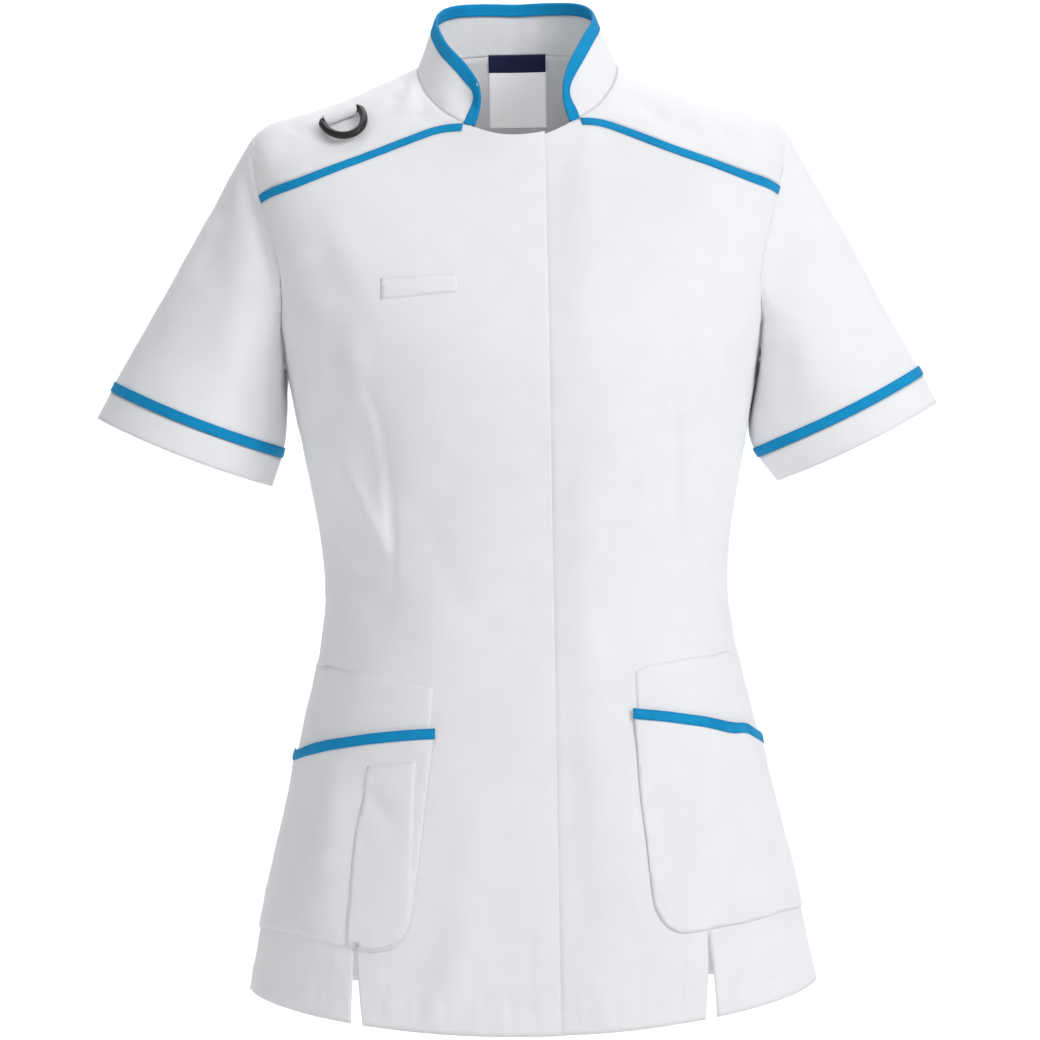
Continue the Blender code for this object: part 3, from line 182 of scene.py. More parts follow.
@dataclass(frozen=True)
class PlasticFinish:
    """Moulded plastic with a faint grain."""

    name: str
    color: tuple[float, float, float]
    roughness: float = 0.32

    def material(self) -> bpy.types.Material:
        """Build the material.

        Returns:
            A procedural material.
        """
        item = bpy.data.materials.new(self.name)
        item.use_nodes = True
        tree = item.node_tree
        shader = tree.nodes["Principled BSDF"]
        shader.inputs["Base Color"].default_value = (*self.color, 1.0)
        shader.inputs["Roughness"].default_value = self.roughness
        place = tree.nodes.new("ShaderNodeTexCoord")
        grain = tree.nodes.new("ShaderNodeTexNoise")
        grain.inputs["Scale"].default_value = 900.0
        tree.links.new(place.outputs["Object"], grain.inputs["Vector"])
        bump = tree.nodes.new("ShaderNodeBump")
        bump.inputs["Strength"].default_value = 0.06
        bump.inputs["Distance"].default_value = 0.0002
        tree.links.new(grain.outputs["Fac"], bump.inputs["Height"])
        tree.links.new(bump.outputs["Normal"], shader.inputs["Normal"])
        return item


FINISHES = {
    "white": ClothFinish("white_polycotton", (0.880, 0.882, 0.900), (0.855, 0.857, 0.878)),
    "blue": ClothFinish("blue_tape", (0.000, 0.305, 0.620), (0.000, 0.250, 0.540), 0.80, 0.03, 0.30,
                        0.0016),
    # The label's glow is painted light that brightens it where it hangs in the shade inside the back
    # of the neck.
    "label": ClothFinish("label_cloth", (0.960, 0.960, 0.965), (0.940, 0.940, 0.950), 0.45, 0.30, 0.04,
                         glow=0.22),
    "navy": ClothFinish("navy_cloth", (0.010, 0.016, 0.070), (0.008, 0.013, 0.060), 0.55, 0.1, 0.05),
    "thread": ClothFinish("white_thread", (0.84, 0.84, 0.86), (0.80, 0.80, 0.82), 0.7, 0.1, 0.0),
    "blue_thread": ClothFinish("blue_thread", (0.000, 0.250, 0.530), (0.000, 0.220, 0.480), 0.7,
                               0.03, 0.0),
    "black": PlasticFinish("black_moulding", (0.004, 0.004, 0.005), 0.42),
}


@dataclass(frozen=True)
class Crease:
    """Soft trough (height below 0) or ridge along a line of x, z points on one face."""

    face: Face
    width: float
    height: float
    line: tuple[tuple[float, float], ...]

    @classmethod
    def read(cls, face: Face, row: Sequence[int]) -> Crease:
        """Read one row of CREASE_ROWS.

        Args:
            face: Face that the crease lies on.
            row: Width, height, then x, z of each point, in tenths of a millimetre.

        Returns:
            The crease in metres.
        """
        width, height, *line = (number / TENTHS for number in row)
        return cls(face, width, height, tuple(zip(line[::2], line[1::2])))


# Each row: width, height (below 0 for a trough), then x, z of each point of its line.
CREASE_ROWS = {
    Face.FRONT: (
        (40, -17, -1179, -2486, -1078, -2759, -1017, -3136, -1004, -3663, -1012, -4114),
        (70, 15, -1285, -2545, -1138, -2758, -1077, -3135, -1061, -3511),
        (60, -26, -1490, -3068, -1301, -3470, -1038, -3926),
        (60, 22, -1354, -3070, -1195, -3434, -1014, -3828),
        (70, -20, -1558, -3503, -1360, -3845, -1073, -4158),
        (80, 16, -1599, -3291, -1410, -3693, -1101, -4052),
        (130, -26, -1503, -2075, -1390, -2528, -1412, -2904),
        (120, 16, -1277, -2079, -1238, -2455, -1305, -2830),
        (36, -17, 1084, -2526, 1147, -2798, 1147, -3249, 1161, -3738),
        (70, 16, 1211, -2588, 1249, -3025, 1202, -3551), (60, 12, 1032, -2495, 1087, -2834),
        (120, -15, 964, -2945, 779, -3243, 593, -3540),
        (120, -16, 1306, -4079, 963, -4337, 543, -4653),
        (130, 15, 1300, -4380, 921, -4562, 464, -4892),
        (120, 14, 265, -3384, 569, -3164, 876, -2831),
        (130, -12, -408, -3147, -713, -3367, -905, -3589),
        (140, 12, -194, -3827, -576, -4122, -884, -4568),
        (120, -11, -430, -4425, -49, -4131, 141, -3984),
        (150, 26, -1471, -5422, -1499, -5760, -1576, -6248),
        (130, -22, -1704, -5396, -1689, -5832, -1772, -6320),
        (120, -16, -1319, -4485, -1491, -4858, -1557, -5173),
        (90, -13, -1262, -5501, -1092, -5707, -953, -5905),
        (140, -32, 1646, -5251, 1562, -5776, 1429, -6451, 1377, -6864),
        (160, 26, 1407, -5172, 1290, -5809, 1174, -6446),
        (140, 22, 1826, -5254, 1890, -5895, 1939, -6535),
        (150, -16, 832, -5350, 1033, -5880, 1144, -6408),
        (160, 14, 534, -5194, 710, -5874, 810, -6628),
        (160, -14, 268, -5340, 369, -6019, 392, -6846),
        (170, 13, -374, -5479, -461, -6154, -588, -6980),
        (140, -15, -631, -6415, -810, -6750, -989, -7123),
        (120, 13, -469, -6606, -610, -6942, -819, -7261),
        (120, -12, -753, -3517, -646, -3820, -428, -4275),
        (150, -15, -1566, -1397, -1436, -1700, -1291, -2003),
        (150, 12, -1427, -1211, -1268, -1567, -1123, -1856),
        (150, -12, 1669, -1378, 1459, -1750, 1340, -2124),
        (130, 12, 1603, -2129, 1423, -2502, 1327, -2876),
        (130, -16, 1536, -2955, 1408, -3404, 1400, -3855),
        (140, 14, 1359, -4456, 1458, -4834, 1603, -5123),
    ),
    Face.SLEEVE_RIGHT: (
        (80, -40, -2152, -773, -2020, -1158, -1890, -1566, -1804, -1951),
        (60, 16, -2044, -736, -1928, -1137, -1812, -1522),
        (130, -32, -2277, -851, -2362, -1289, -2508, -1711),
        (150, 22, -2100, -1348, -2170, -1807, -2302, -2341),
        (120, -18, -1990, -2040, -2027, -2422, -2126, -2803),
        (120, 13, -1839, -2195, -1861, -2578, -1959, -2883),
    ),
    Face.SLEEVE_LEFT: (
        (36, -14, 2139, -748, 2082, -946, 2032, -1160),
        (90, -22, 2085, -1207, 2002, -1589, 1904, -1916),
        (140, 18, 2238, -1233, 2197, -1806, 2125, -2418),
        (130, -17, 2481, -1490, 2550, -1954, 2665, -2419),
        (120, -16, 1993, -2109, 2000, -2569, 2040, -2876),
    ),
    Face.YOKE: (
        (80, -13, 827, -288, 1133, -479, 1401, -591), (80, 10, 944, -244, 1327, -405, 1671, -588),
        (70, -10, 1404, -406, 1632, -626, 1784, -706),
        (50, -12, -847, -61, -926, -199, -1006, -322), (50, 10, -770, -109, -835, -263, -899, -401),
        (50, -12, -691, -184, -724, -323, -773, -461),
        (90, -10, -1689, -418, -1769, -556, -1818, -695),
    ),
    Face.BACK: (
        (120, -22, -1500, -3000, -1050, -3500, -600, -3850),
        (120, 18, -1500, -3350, -1100, -3780, -500, -4150),
        (120, -20, 1500, -3100, 1100, -3620, 600, -3980),
        (130, 17, 1450, -3450, 1050, -3900, 450, -4300),
        (150, -18, -700, -5600, -780, -6300, -900, -7000),
        (160, 20, 200, -5400, 280, -6200, 300, -7100),
        (150, -18, 1100, -5600, 1220, -6300, 1280, -6900),
        (150, 16, -1400, -5600, -1550, -6200, -1600, -6800),
        (140, -16, -1200, -1100, -1100, -1700, -1250, -2400),
        (140, -16, 1250, -1200, 1120, -1800, 1220, -2500),
        (160, 13, -300, -1200, -350, -2000, -200, -2900),
    ),
}
CREASES = tuple(Crease.read(face, row) for face, rows in CREASE_ROWS.items() for row in rows)

POPPER_DENTS = ((-0.0066, -0.0801), (0.0044, -0.1822), (0.0038, -0.2564), (0.0007, -0.3905),
                (-0.0063, -0.4953))


def smoothstep(low: float, high: float, value: np.ndarray) -> np.ndarray:
    """Ease from 0 at low to 1 at high."""
    share = np.clip((np.asarray(value, float) - low) / (high - low), 0.0, 1.0)
    return share * share * (3.0 - 2.0 * share)


def ripple(place: np.ndarray, pitch: float, seed: int) -> np.ndarray:
    """Uneven wave along a line.

    Args:
        place: Distance along the line, in metres.
        pitch: Mean wavelength.
        seed: Number that sets the phases.

    Returns:
        Heights of about -1 to 1.
    """
    chance = np.random.default_rng(seed)
    total = np.zeros_like(np.asarray(place, float))
    for share, weight in ((1.0, 0.5), (0.61, 0.35), (1.7, 0.3), (0.23, 0.3)):
        phase = chance.uniform(0.0, 2.0 * math.pi)
        total += weight * np.sin(2.0 * math.pi * place * share / pitch + phase)
    return total


def unrest(points: np.ndarray, size: float, seed: int) -> np.ndarray:
    """Gentle unevenness in space.

    Args:
        points: Places, one a row.
        size: Mean wavelength.
        seed: Number that sets the directions.

    Returns:
        Heights of about -1 to 1.
    """
    chance = np.random.default_rng(seed)
    total = np.zeros(len(points))
    for _ in range(9):
        way = chance.normal(size=3)
        way *= 2.0 * math.pi / size * chance.uniform(0.6, 1.5) / np.linalg.norm(way)
        total += np.sin(points @ way + chance.uniform(0.0, 6.3))
    return total / 4.0


def along_line(spots: np.ndarray, line: np.ndarray) -> tuple[np.ndarray, np.ndarray]:
    """Distance to a polyline and share of its length at the nearest place.

    Args:
        spots: Places, one a row.
        line: Polyline in the same number of dimensions.

    Returns:
        Distances and shares from 0 to 1.
    """
    steps = np.linalg.norm(np.diff(line, axis=0), axis=1)
    starts = np.concatenate([[0.0], np.cumsum(steps)])
    best = np.full(len(spots), 9.0)
    share = np.zeros(len(spots))
    for index, step in enumerate(steps):
        run = line[index + 1] - line[index]
        t = np.clip((spots - line[index]) @ run / (run @ run), 0.0, 1.0)
        far = np.linalg.norm(spots - line[index] - t[:, None] * run, axis=1)
        nearer = far < best
        best[nearer] = far[nearer]
        share[nearer] = (starts[index] + t[nearer] * step) / starts[-1]
    return best, share


def unit(vectors: np.ndarray) -> np.ndarray:
    """Vectors of the same directions and length 1."""
    return vectors / np.maximum(np.linalg.norm(vectors, axis=-1, keepdims=True), 1e-12)


def lengths(line: np.ndarray) -> np.ndarray:
    """Distance along a polyline to each of its points."""
    return np.concatenate([[0.0], np.cumsum(np.linalg.norm(np.diff(line, axis=0), axis=1))])


def between(at: np.ndarray, steps: np.ndarray, rows: np.ndarray) -> np.ndarray:
    """Rows of three values at given distances along a line."""
    return np.stack([np.interp(at, steps, rows[:, axis]) for axis in range(3)], axis=-1)


def ease(rows: np.ndarray, turns: int) -> None:
    """Smooth an array in place along its first axis and leave its two ends."""
    for _ in range(turns):
        rows[1:-1] = (rows[:-2] + 2 * rows[1:-1] + rows[2:]) / 4


def grid_faces(rows: int, columns: int) -> list[tuple[int, int, int, int]]:
    """Quads between the points of a grid that is numbered row by row."""
    firsts = [row * columns + column for row in range(rows - 1) for column in range(columns - 1)]
    return [(first, first + 1, first + columns + 1, first + columns) for first in firsts]


def crease_heights(points: np.ndarray, normals: np.ndarray, faces: Iterable[Face]) -> np.ndarray:
    """Sum of the creases of some faces over a skin's points.

    Args:
        points: Places, one a row.
        normals: Outward normals there.
        faces: Faces whose creases apply.

    Returns:
        Heights to move the points out by.
    """
    wanted = set(faces)
    spots = points[:, [0, 2]]
    total = np.zeros(len(points))
    for number, crease in enumerate(CREASES):
        if crease.face not in wanted:
            continue
        side = 1.0 if crease.face is Face.BACK else -1.0
        facing = smoothstep(-0.05, 0.30, side * normals[:, 1])
        if crease.face is Face.YOKE:
            facing = np.ones(len(points))
        near = np.linalg.norm(spots - np.mean(crease.line, axis=0), axis=1) < 0.14
        if not near.any():
            continue
        far, share = along_line(spots[near], np.array(crease.line))
        uneven = 1.0 + 0.22 * ripple(share * 0.1, 0.045, number)
        taper = np.clip(4.6 * share * (1.0 - share) + 0.12, 0.0, 1.0) ** 0.8
        width = crease.width * (0.75 + 0.45 * share)
        total[near] += crease.height * uneven * taper * np.exp(-((far / width) ** 2)) * facing[near]
    return total


def refine(mesh: bpy.types.Mesh, level: int, corrections: int = 2) -> tuple[np.ndarray, list]:
    """Subdivide a mesh smoothly so that it still passes through its own points.

    Args:
        mesh: Coarse mesh.
        level: Number of subdivisions.
        corrections: Turns in which the control points are moved.

    Returns:
        Points and faces of the dense mesh.
    """
    item = bpy.data.objects.new("refining", mesh)
    bpy.context.collection.objects.link(item)
    modifier = item.modifiers.new("smooth", "SUBSURF")
    modifier.boundary_smooth = "PRESERVE_CORNERS"
    target = np.zeros(len(mesh.vertices) * 3)
    mesh.vertices.foreach_get("co", target)
    control = target.copy()
    for turn in range(corrections + 1):
        modifier.levels = level if turn == corrections else 1
        mesh.vertices.foreach_set("co", control)
        mesh.update()
        bpy.context.view_layer.update()
        dense = item.evaluated_get(bpy.context.evaluated_depsgraph_get()).to_mesh()
        places = np.zeros(len(dense.vertices) * 3)
        dense.vertices.foreach_get("co", places)
        if turn < corrections:
            control += target - places[:len(target)]
        faces = [tuple(face.vertices) for face in dense.polygons]
    bpy.data.objects.remove(item)
    return places.reshape(-1, 3), faces


def vertex_normals(points: np.ndarray, faces: Sequence[Sequence[int]]) -> np.ndarray:
    """Area-weighted normals.

    Args:
        points: Places, one a row.
        faces: Triangles or quads.

    Returns:
        Unit normals, one a row.
    """
    fours = np.array([face if len(face) == 4 else (*face, face[-1]) for face in faces])
    across = points[fours[:, 2]] - points[fours[:, 0]]
    other = points[fours[:, 3]] - points[fours[:, 1]]
    flat = np.cross(across, other)
    total = np.zeros_like(points)
    for corner in range(4):
        np.add.at(total, fours[:, corner], flat)
    return unit(total)


def welded(source: bpy.types.Object) -> bmesh.types.BMesh:
    """Tiles of a CAD solid with its doubled points merged."""
    work = bmesh.new()
    work.from_mesh(source.data)
    bmesh.ops.remove_doubles(work, verts=work.verts, dist=2e-5)
    return work


def as_quads(work: bmesh.types.BMesh, name: str) -> bpy.types.Mesh:
    """Join pairs of triangles, and turn the tiles into a mesh.

    Args:
        work: The tiles, which are freed.
        name: Name of the mesh.

    Returns:
        The new mesh.
    """
    bmesh.ops.join_triangles(work, faces=work.faces[:], angle_face_threshold=math.radians(50),
                             angle_shape_threshold=math.radians(100))
    mesh = bpy.data.meshes.new(name)
    work.to_mesh(mesh)
    work.free()
    return mesh


def outer_part(source: bpy.types.Object) -> bpy.types.Mesh:
    """Outer face of a cloth solid as an open mesh of quads where it can.

    Args:
        source: The solid.

    Returns:
        A new mesh.
    """
    work = welded(source)
    work.normal_update()
    unseen = set(work.faces)
    groups = []
    while unseen:
        stack = [unseen.pop()]
        group = list(stack)
        while stack:
            current = stack.pop()
            for edge in current.edges:
                for other in edge.link_faces:
                    if other in unseen and current.normal.dot(other.normal) > SAME_SIDE:
                        unseen.remove(other)
                        group.append(other)
                        stack.append(other)
        groups.append(group)
    groups.sort(key=lambda group: -sum(face.calc_area() for face in group))
    outward = [sum(face.normal.dot(face.calc_center_median() - Vector((0, AXIS_Y, 0)))
                   * face.calc_area() for face in group) for group in groups[:2]]
    is_tube = "sleeve" in source.name or "cuff" in source.name
    kept = set(groups[0 if is_tube else int(np.argmax(outward))])
    bmesh.ops.delete(work, geom=[face for face in work.faces if face not in kept], context="FACES")
    return as_quads(work, source.name + "_outer")


class Skin:
    """Dense face of one piece of cloth, with its rim and its sewn edges."""

    def __init__(self, name: str, points: np.ndarray, faces: list) -> None:
        """Keep the points and find the rim.

        Args:
            name: Name of the CAD node that it shows.
            points: Places, one a row.
            faces: Faces as tuples of point numbers.
        """
        self.name = name
        self.points = points
        self.faces = faces
        self.loops = self._rims()
        self.partner: dict[int, str] = {}

    @property
    def normals(self) -> np.ndarray:
        """Outward unit normals of the points."""
        return vertex_normals(self.points, self.faces)

    def _rims(self) -> list[np.ndarray]:
        """Closed runs of point numbers round the open edges."""
        seen: dict[tuple[int, int], int] = {}
        for face in self.faces:
            for start, end in zip(face, (*face[1:], face[0])):
                seen[(start, end)] = 1
        following = {start: end for start, end in seen if (end, start) not in seen}
        loops = []
        while following:
            first, current = next(iter(following.items()))
            del following[first]
            loop = [first]
            while current in following:
                loop.append(current)
                current = following.pop(current)
            loops.append(np.array(loop))
        return loops

    def rim(self) -> np.ndarray:
        """All point numbers on the open edges."""
        return np.concatenate(self.loops)

    def tree(self) -> BVHTree:
        """Search tree of the skin."""
        return BVHTree.FromPolygons(self.points.tolist(), self.faces)

    def runs(self, partner: str) -> list[np.ndarray]:
        """Stretches of the rim along one sewn partner, or the free edge.

        Args:
            partner: Name of the piece that it is sewn to; empty for the free edge.

        Returns:
            Runs of point numbers in rim order.
        """
        found = []
        for loop in self.loops:
            marks = np.array([self.partner.get(int(index), "") == partner for index in loop])
            if marks.all():
                found.append(np.append(loop, loop[0]))
                continue
            if not marks.any():
                continue
            shift = int(np.argmin(marks))
            loop = np.roll(loop, -shift)
            marks = np.roll(marks, -shift)
            current: list[int] = []
            for index, mark in zip(loop, marks):
                if mark:
                    current.append(int(index))
                elif current:
                    found.append(np.array(current))
                    current = []
            if current:
                found.append(np.array(current))
        return [run for run in found if len(run) > 3]

    def inset(self, run: np.ndarray, distance: float) -> np.ndarray:
        """Line on the skin beside part of its rim.

        Args:
            run: Point numbers along the rim.
            distance: How far inside the edge the line lies.

        Returns:
            Points of the line.
        """
        places = self.points[run]
        tangent = np.gradient(places, axis=0)
        inward = unit(np.cross(self.normals[run], tangent))
        ease(inward, 6)
        return places + inward * distance

    def object(self, slot: Slot, finish: str, thickness: float = CLOTH,
               body: str = BODY) -> bpy.types.Object:
        """Make the piece that is shown.

        Args:
            slot: Kind of material; not used.
            finish: Key of FINISHES.
            thickness: Thickness of the shown cloth, inwards.
            body: Body that it rides on.

        Returns:
            The new object.
        """
        item = make_object(self.name + "_cloth", self.points, self.faces, finish, body)
        solid = item.modifiers.new("thickness", "SOLIDIFY")
        solid.thickness = thickness
        solid.offset = -1.0
        solid.use_rim = True
        return item


def make_object(name: str, points: np.ndarray, faces: Sequence, finish: str,
                body: str = BODY) -> bpy.types.Object:
    """Add a smooth-shaded mesh to the scene.

    Args:
        name: Object name.
        points: Places, one a row.
        faces: Faces as tuples of point numbers.
        finish: Key of FINISHES.
        body: Body that it rides on.

    Returns:
        The new object.
    """
    mesh = bpy.data.meshes.new(name)
    mesh.from_pydata(np.asarray(points).tolist(), [], [tuple(face) for face in faces])
    mesh.polygons.foreach_set("use_smooth", [True] * len(mesh.polygons))
    item = bpy.data.objects.new(name, mesh)
    bpy.context.collection.objects.link(item)
    existing = bpy.data.materials.get(FINISHES[finish].name)
    mesh.materials.append(existing or FINISHES[finish].material())
    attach(item, body)
    return item


class Thread:
    """Rows of short stitches that lie on the cloth."""

    def __init__(self, name: str, slot: Slot, finish: str) -> None:
        """Start an empty set of stitches.

        Args:
            name: Object name.
            slot: Kind of material; kept but not used.
            finish: Key of FINISHES.
        """
        self.name = name
        self.slot = slot
        self.finish = finish
        self.points: list[np.ndarray] = []
        self.faces: list[tuple[int, ...]] = []

    def row(self, line: np.ndarray, tree: BVHTree, pitch: float = 0.0030, length: float = 0.0023,
            width: float = 0.00042, lift: float = 0.00012) -> None:
        """Lay one row of stitches.

        Args:
            line: Points near the cloth.
            tree: The cloth that they lie on.
            pitch: Distance from one stitch to the next.
            length: Length of a stitch.
            width: Width of the thread.
            lift: Height of the stitch's ends over the cloth.
        """
        steps = lengths(line)
        for start in np.arange(0.001, steps[-1] - length, pitch):
            ends = []
            ups = []
            for at in (start, start + length):
                hit, up, _, far = tree.find_nearest(Vector(between(at, steps, line)))
                if hit is None or far > 0.006:
                    break
                ends.append(np.array(hit))
                ups.append(np.array(up))
            if len(ends) == 2:
                self._stitch(ends, ups[0], width, lift)

    def _stitch(self, ends: list[np.ndarray], up: np.ndarray, width: float, lift: float) -> None:
        """Add one stitch as a low arched bar.

        Args:
            ends: Its two ends on the cloth.
            up: Direction off the cloth.
            width: Width of the thread.
            lift: Height of its ends.
        """
        run = ends[1] - ends[0]
        side = np.cross(up, run)
        side *= width / 2 / max(np.linalg.norm(side), 1e-12)
        first = len(self.points)
        for share, rise in ((0.0, 0.1), (0.22, 1.6), (0.78, 1.6), (1.0, 0.1)):
            middle = ends[0] + run * share
            for across, top in ((-1.0, 0.0), (0.0, 1.0), (1.0, 0.0)):
                self.points.append(middle + side * across + up * lift * (rise * top - 0.4))
        for part in range(3):
            a = first + part * 3
            self.faces.append((a, a + 1, a + 4, a + 3))
            self.faces.append((a + 1, a + 2, a + 5, a + 4))

    def finish_up(self) -> None:
        """Make the object of all the rows."""
        if self.points:
            make_object(self.name, np.array(self.points), self.faces, self.finish)
            LOG.info("%s: %d stitches", self.name, len(self.faces) // 6)


@dataclass(frozen=True)
class Cut:
    """Flat cut of one piece of cloth."""

    width: float
    length: float
    share: float


CUTS = {
    **{"front_" + side: Cut(0.285, 0.715, 0.85) for side in SIDES},
    "back": Cut(0.520, 0.790, 0.84),
    **{"yoke_" + side: Cut(0.165, 0.110, 0.87) for side in SIDES},
    **{"sleeve_" + side: Cut(0.430, 0.240, 0.55) for side in SIDES},
    **{"cuff_" + side: Cut(0.395, 0.0245, 1.0) for side in SIDES},
    "collar": Cut(0.385, 0.050, 0.75),
}


@dataclass
class Torso:
    """Fronts, back, yokes, sleeves, cuffs and collar: the pieces sewn edge to edge."""

    nodes: dict
    level: int = 3
    dip: float = 0.0004
    dip_reach: float = 0.0040
    skins: dict[str, Skin] = field(default_factory=dict)
    trees: dict[str, BVHTree] = field(default_factory=dict)

    def build(self) -> None:
        """Make every skin, sew the edges and add the creases."""
        for name in CUTS:
            points, faces = refine(outer_part(self.nodes[name]), self.level)
            self.skins[name] = Skin(name, points, faces)
            LOG.info("%s: %d faces", name, len(faces))
        self._sew()
        for name, skin in self.skins.items():
            self._shape(name, skin)
            self.trees[name] = skin.tree()

    def _sew(self) -> None:
        """Find which rim points are sewn to which piece and bring the edges together."""
        rims = []
        for name, skin in self.skins.items():
            rims += [(name, int(index)) for index in skin.rim()]
        places = np.array([self.skins[name].points[index] for name, index in rims])
        owners = np.array([name for name, _ in rims])
        moves = np.zeros_like(places)
        for number, (name, index) in enumerate(rims):
            others = owners != name
            gaps = np.linalg.norm(places[others] - places[number], axis=1)
            nearest = int(np.argmin(gaps))
            if gaps[nearest] < SEAM_REACH:
                self.skins[name].partner[index] = str(owners[others][nearest])
                moves[number] = (places[others][nearest] - places[number]) * 0.5
        for (name, index), move in zip(rims, moves):
            self.skins[name].points[index] += move
        collar = self.skins["collar"]
        run = max(collar.runs(""), key=len)
        places = collar.points[run]
        ease(places, 12)
        collar.points[run] = places

    def _shape(self, name: str, skin: Skin) -> None:
        """Add creases, seam dips, hem band and puckers to one skin.

        Args:
            name: Name of the piece.
            skin: Its dense face.
        """
        normals = skin.normals
        points = skin.points
        faces = [Face.FRONT, Face.BACK]
        if name.startswith("sleeve") or name.startswith("cuff"):
            faces = [Face.SLEEVE_RIGHT if name.endswith("right") else Face.SLEEVE_LEFT]
        if name.startswith("yoke"):
            faces = [Face.YOKE]
        if name == "collar":
            faces = []
        height = crease_heights(points, normals, faces)
        height += 0.00050 * unrest(points, 0.085, 5) + 0.00022 * unrest(points, 0.032, 6)
        sewn = np.array(sorted(skin.partner), int)
        edge = np.full(len(points), 1.0)
        if len(sewn):
            line = points[sewn]
            for start in range(0, len(points), 4000):
                block = points[start:start + 4000]
                far = np.linalg.norm(block[:, None] - line[None], axis=2).min(axis=1)
                edge[start:start + 4000] = far
            pucker = ripple(points @ np.array([0.55, 0.45, 0.90]), 0.013, 11)
            height *= smoothstep(0.0, 0.010, edge) * 0.8 + 0.2
            height += 0.00028 * pucker * np.exp(-((edge - 0.004) / 0.004) ** 2)
            height -= self.dip * (1.0 - smoothstep(0.0, self.dip_reach, edge))
        height += self._hem(name, skin)
        if name.startswith("front"):
            for x, z in POPPER_DENTS:
                far = np.linalg.norm(points[:, [0, 2]] - np.array([x, z]), axis=1)
                height -= 0.0006 * np.exp(-((far / 0.0050) ** 2))
        skin.points = points + normals * height[:, None]

    def _hem(self, name: str, skin: Skin) -> np.ndarray:
        """Raised turn-up and puckers along the lower edge.

        Args:
            name: Name of the piece.
            skin: Its dense face.

        Returns:
            Heights of the points.
        """
        total = np.zeros(len(skin.points))
        if name not in ("front_left", "front_right", "back"):
            return total
        for run in skin.runs(""):
            low = run[skin.points[run, 2] < HEM_TOP]
            if len(low) < 8:
                continue
            line = skin.points[low][::4]
            near = skin.points[:, 2] < -0.62
            far, share = along_line(skin.points[near], line)
            length = np.linalg.norm(np.diff(line, axis=0), axis=1).sum()
            wave = ripple(share * length, 0.017, 21 + len(name))
            band = 1.0 - smoothstep(0.0175, 0.0205, far)
            total[near] += 0.0005 * band
            total[near] += 0.00055 * wave * np.exp(-(((far - HEM_BAND) / 0.0100) ** 2))
        return total

    def show(self) -> None:
        """Make the objects and hide the CAD nodes that they stand in for."""
        for name, skin in self.skins.items():
            item = skin.object(Slot.WHITE, "white")
            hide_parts(name)

    def stitch(self) -> None:
        """Lay the top-stitching of seams, hem, fly and collar."""
        rows = Thread("body_stitching", Slot.WHITE, "thread")
        for side in SIDES:
            front, yoke, sleeve = "front_" + side, "yoke_" + side, "sleeve_" + side
            self._free_rows(rows, front)
            self._seam_rows(rows, front, sleeve, DOUBLE)
            self._seam_rows(rows, front, "back", SINGLE)
            self._seam_rows(rows, yoke, sleeve, DOUBLE)
            self._seam_rows(rows, yoke, front, SINGLE)
            self._seam_rows(rows, yoke, "back", DOUBLE)
            self._seam_rows(rows, "cuff_" + side, "", (0.0020,))
        self._free_rows(rows, "back")
        for side in SIDES:
            self._seam_rows(rows, "back", "sleeve_" + side, DOUBLE)
        for partner in ("back", "yoke_right", "yoke_left"):
            self._seam_rows(rows, "collar", partner, SINGLE)
        rows.finish_up()

    def _seam_rows(self, rows: Thread, name: str, partner: str,
                   distances: Iterable[float]) -> None:
        """Stitch beside the edges that one piece shares with another.

        Args:
            rows: Stitches of the body.
            name: Name of the piece.
            partner: Name of the other piece; empty for the free edge.
            distances: How far from the edge the rows lie.
        """
        skin = self.skins[name]
        for run in skin.runs(partner):
            for distance in distances:
                rows.row(skin.inset(run, distance), self.trees[name])

    def _free_rows(self, rows: Thread, name: str) -> None:
        """Stitch the hem of a piece, and the edge of the fly.

        Args:
            rows: Stitches of the body.
            name: Name of the piece.
        """
        skin = self.skins[name]
        for run in skin.runs(""):
            height = skin.points[run, 2]
            low = run[height < HEM_TOP]
            if len(low) > 8:
                rows.row(skin.inset(low, HEM_BAND), self.trees[name])
            upright = run[(height > -0.70) & (height < -0.07)]
            if len(upright) > 20 and name == "front_right":
                rows.row(skin.inset(upright, 0.0016), self.trees[name])


def turned(angle: np.ndarray) -> np.ndarray:
    """Horizontal outward directions at angles round the torso's axis."""
    return np.stack([np.sin(angle), -np.cos(angle), np.zeros_like(angle)], axis=-1)


def smooth_outline(flat: np.ndarray, step: float = 0.003) -> np.ndarray:
    """Resample a closed outline and round it between its corners.

    Args:
        flat: Outline in two dimensions.
        step: Distance between the new points.

    Returns:
        The new outline.
    """
    ahead = np.roll(flat, -1, axis=0) - flat
    behind = flat - np.roll(flat, 1, axis=0)
    turn = np.degrees(np.abs(np.arctan2(behind[:, 0] * ahead[:, 1] - behind[:, 1] * ahead[:, 0],
                                        (behind * ahead).sum(1))))
    corner = turn > 42.0
    points: list[np.ndarray] = []
    held: list[bool] = []
    for index in range(len(flat)):
        run = flat[(index + 1) % len(flat)] - flat[index]
        count = max(1, int(round(np.linalg.norm(run) / step)))
        for part in range(count):
            points.append(flat[index] + run * part / count)
            held.append(bool(corner[index]) and part == 0)
    outline = np.array(points)
    fixed = np.array(held)[:, None]
    for _ in range(14):
        eased = (np.roll(outline, 1, axis=0) + 2 * outline + np.roll(outline, -1, axis=0)) / 4
        outline = np.where(fixed, outline, eased)
    return outline


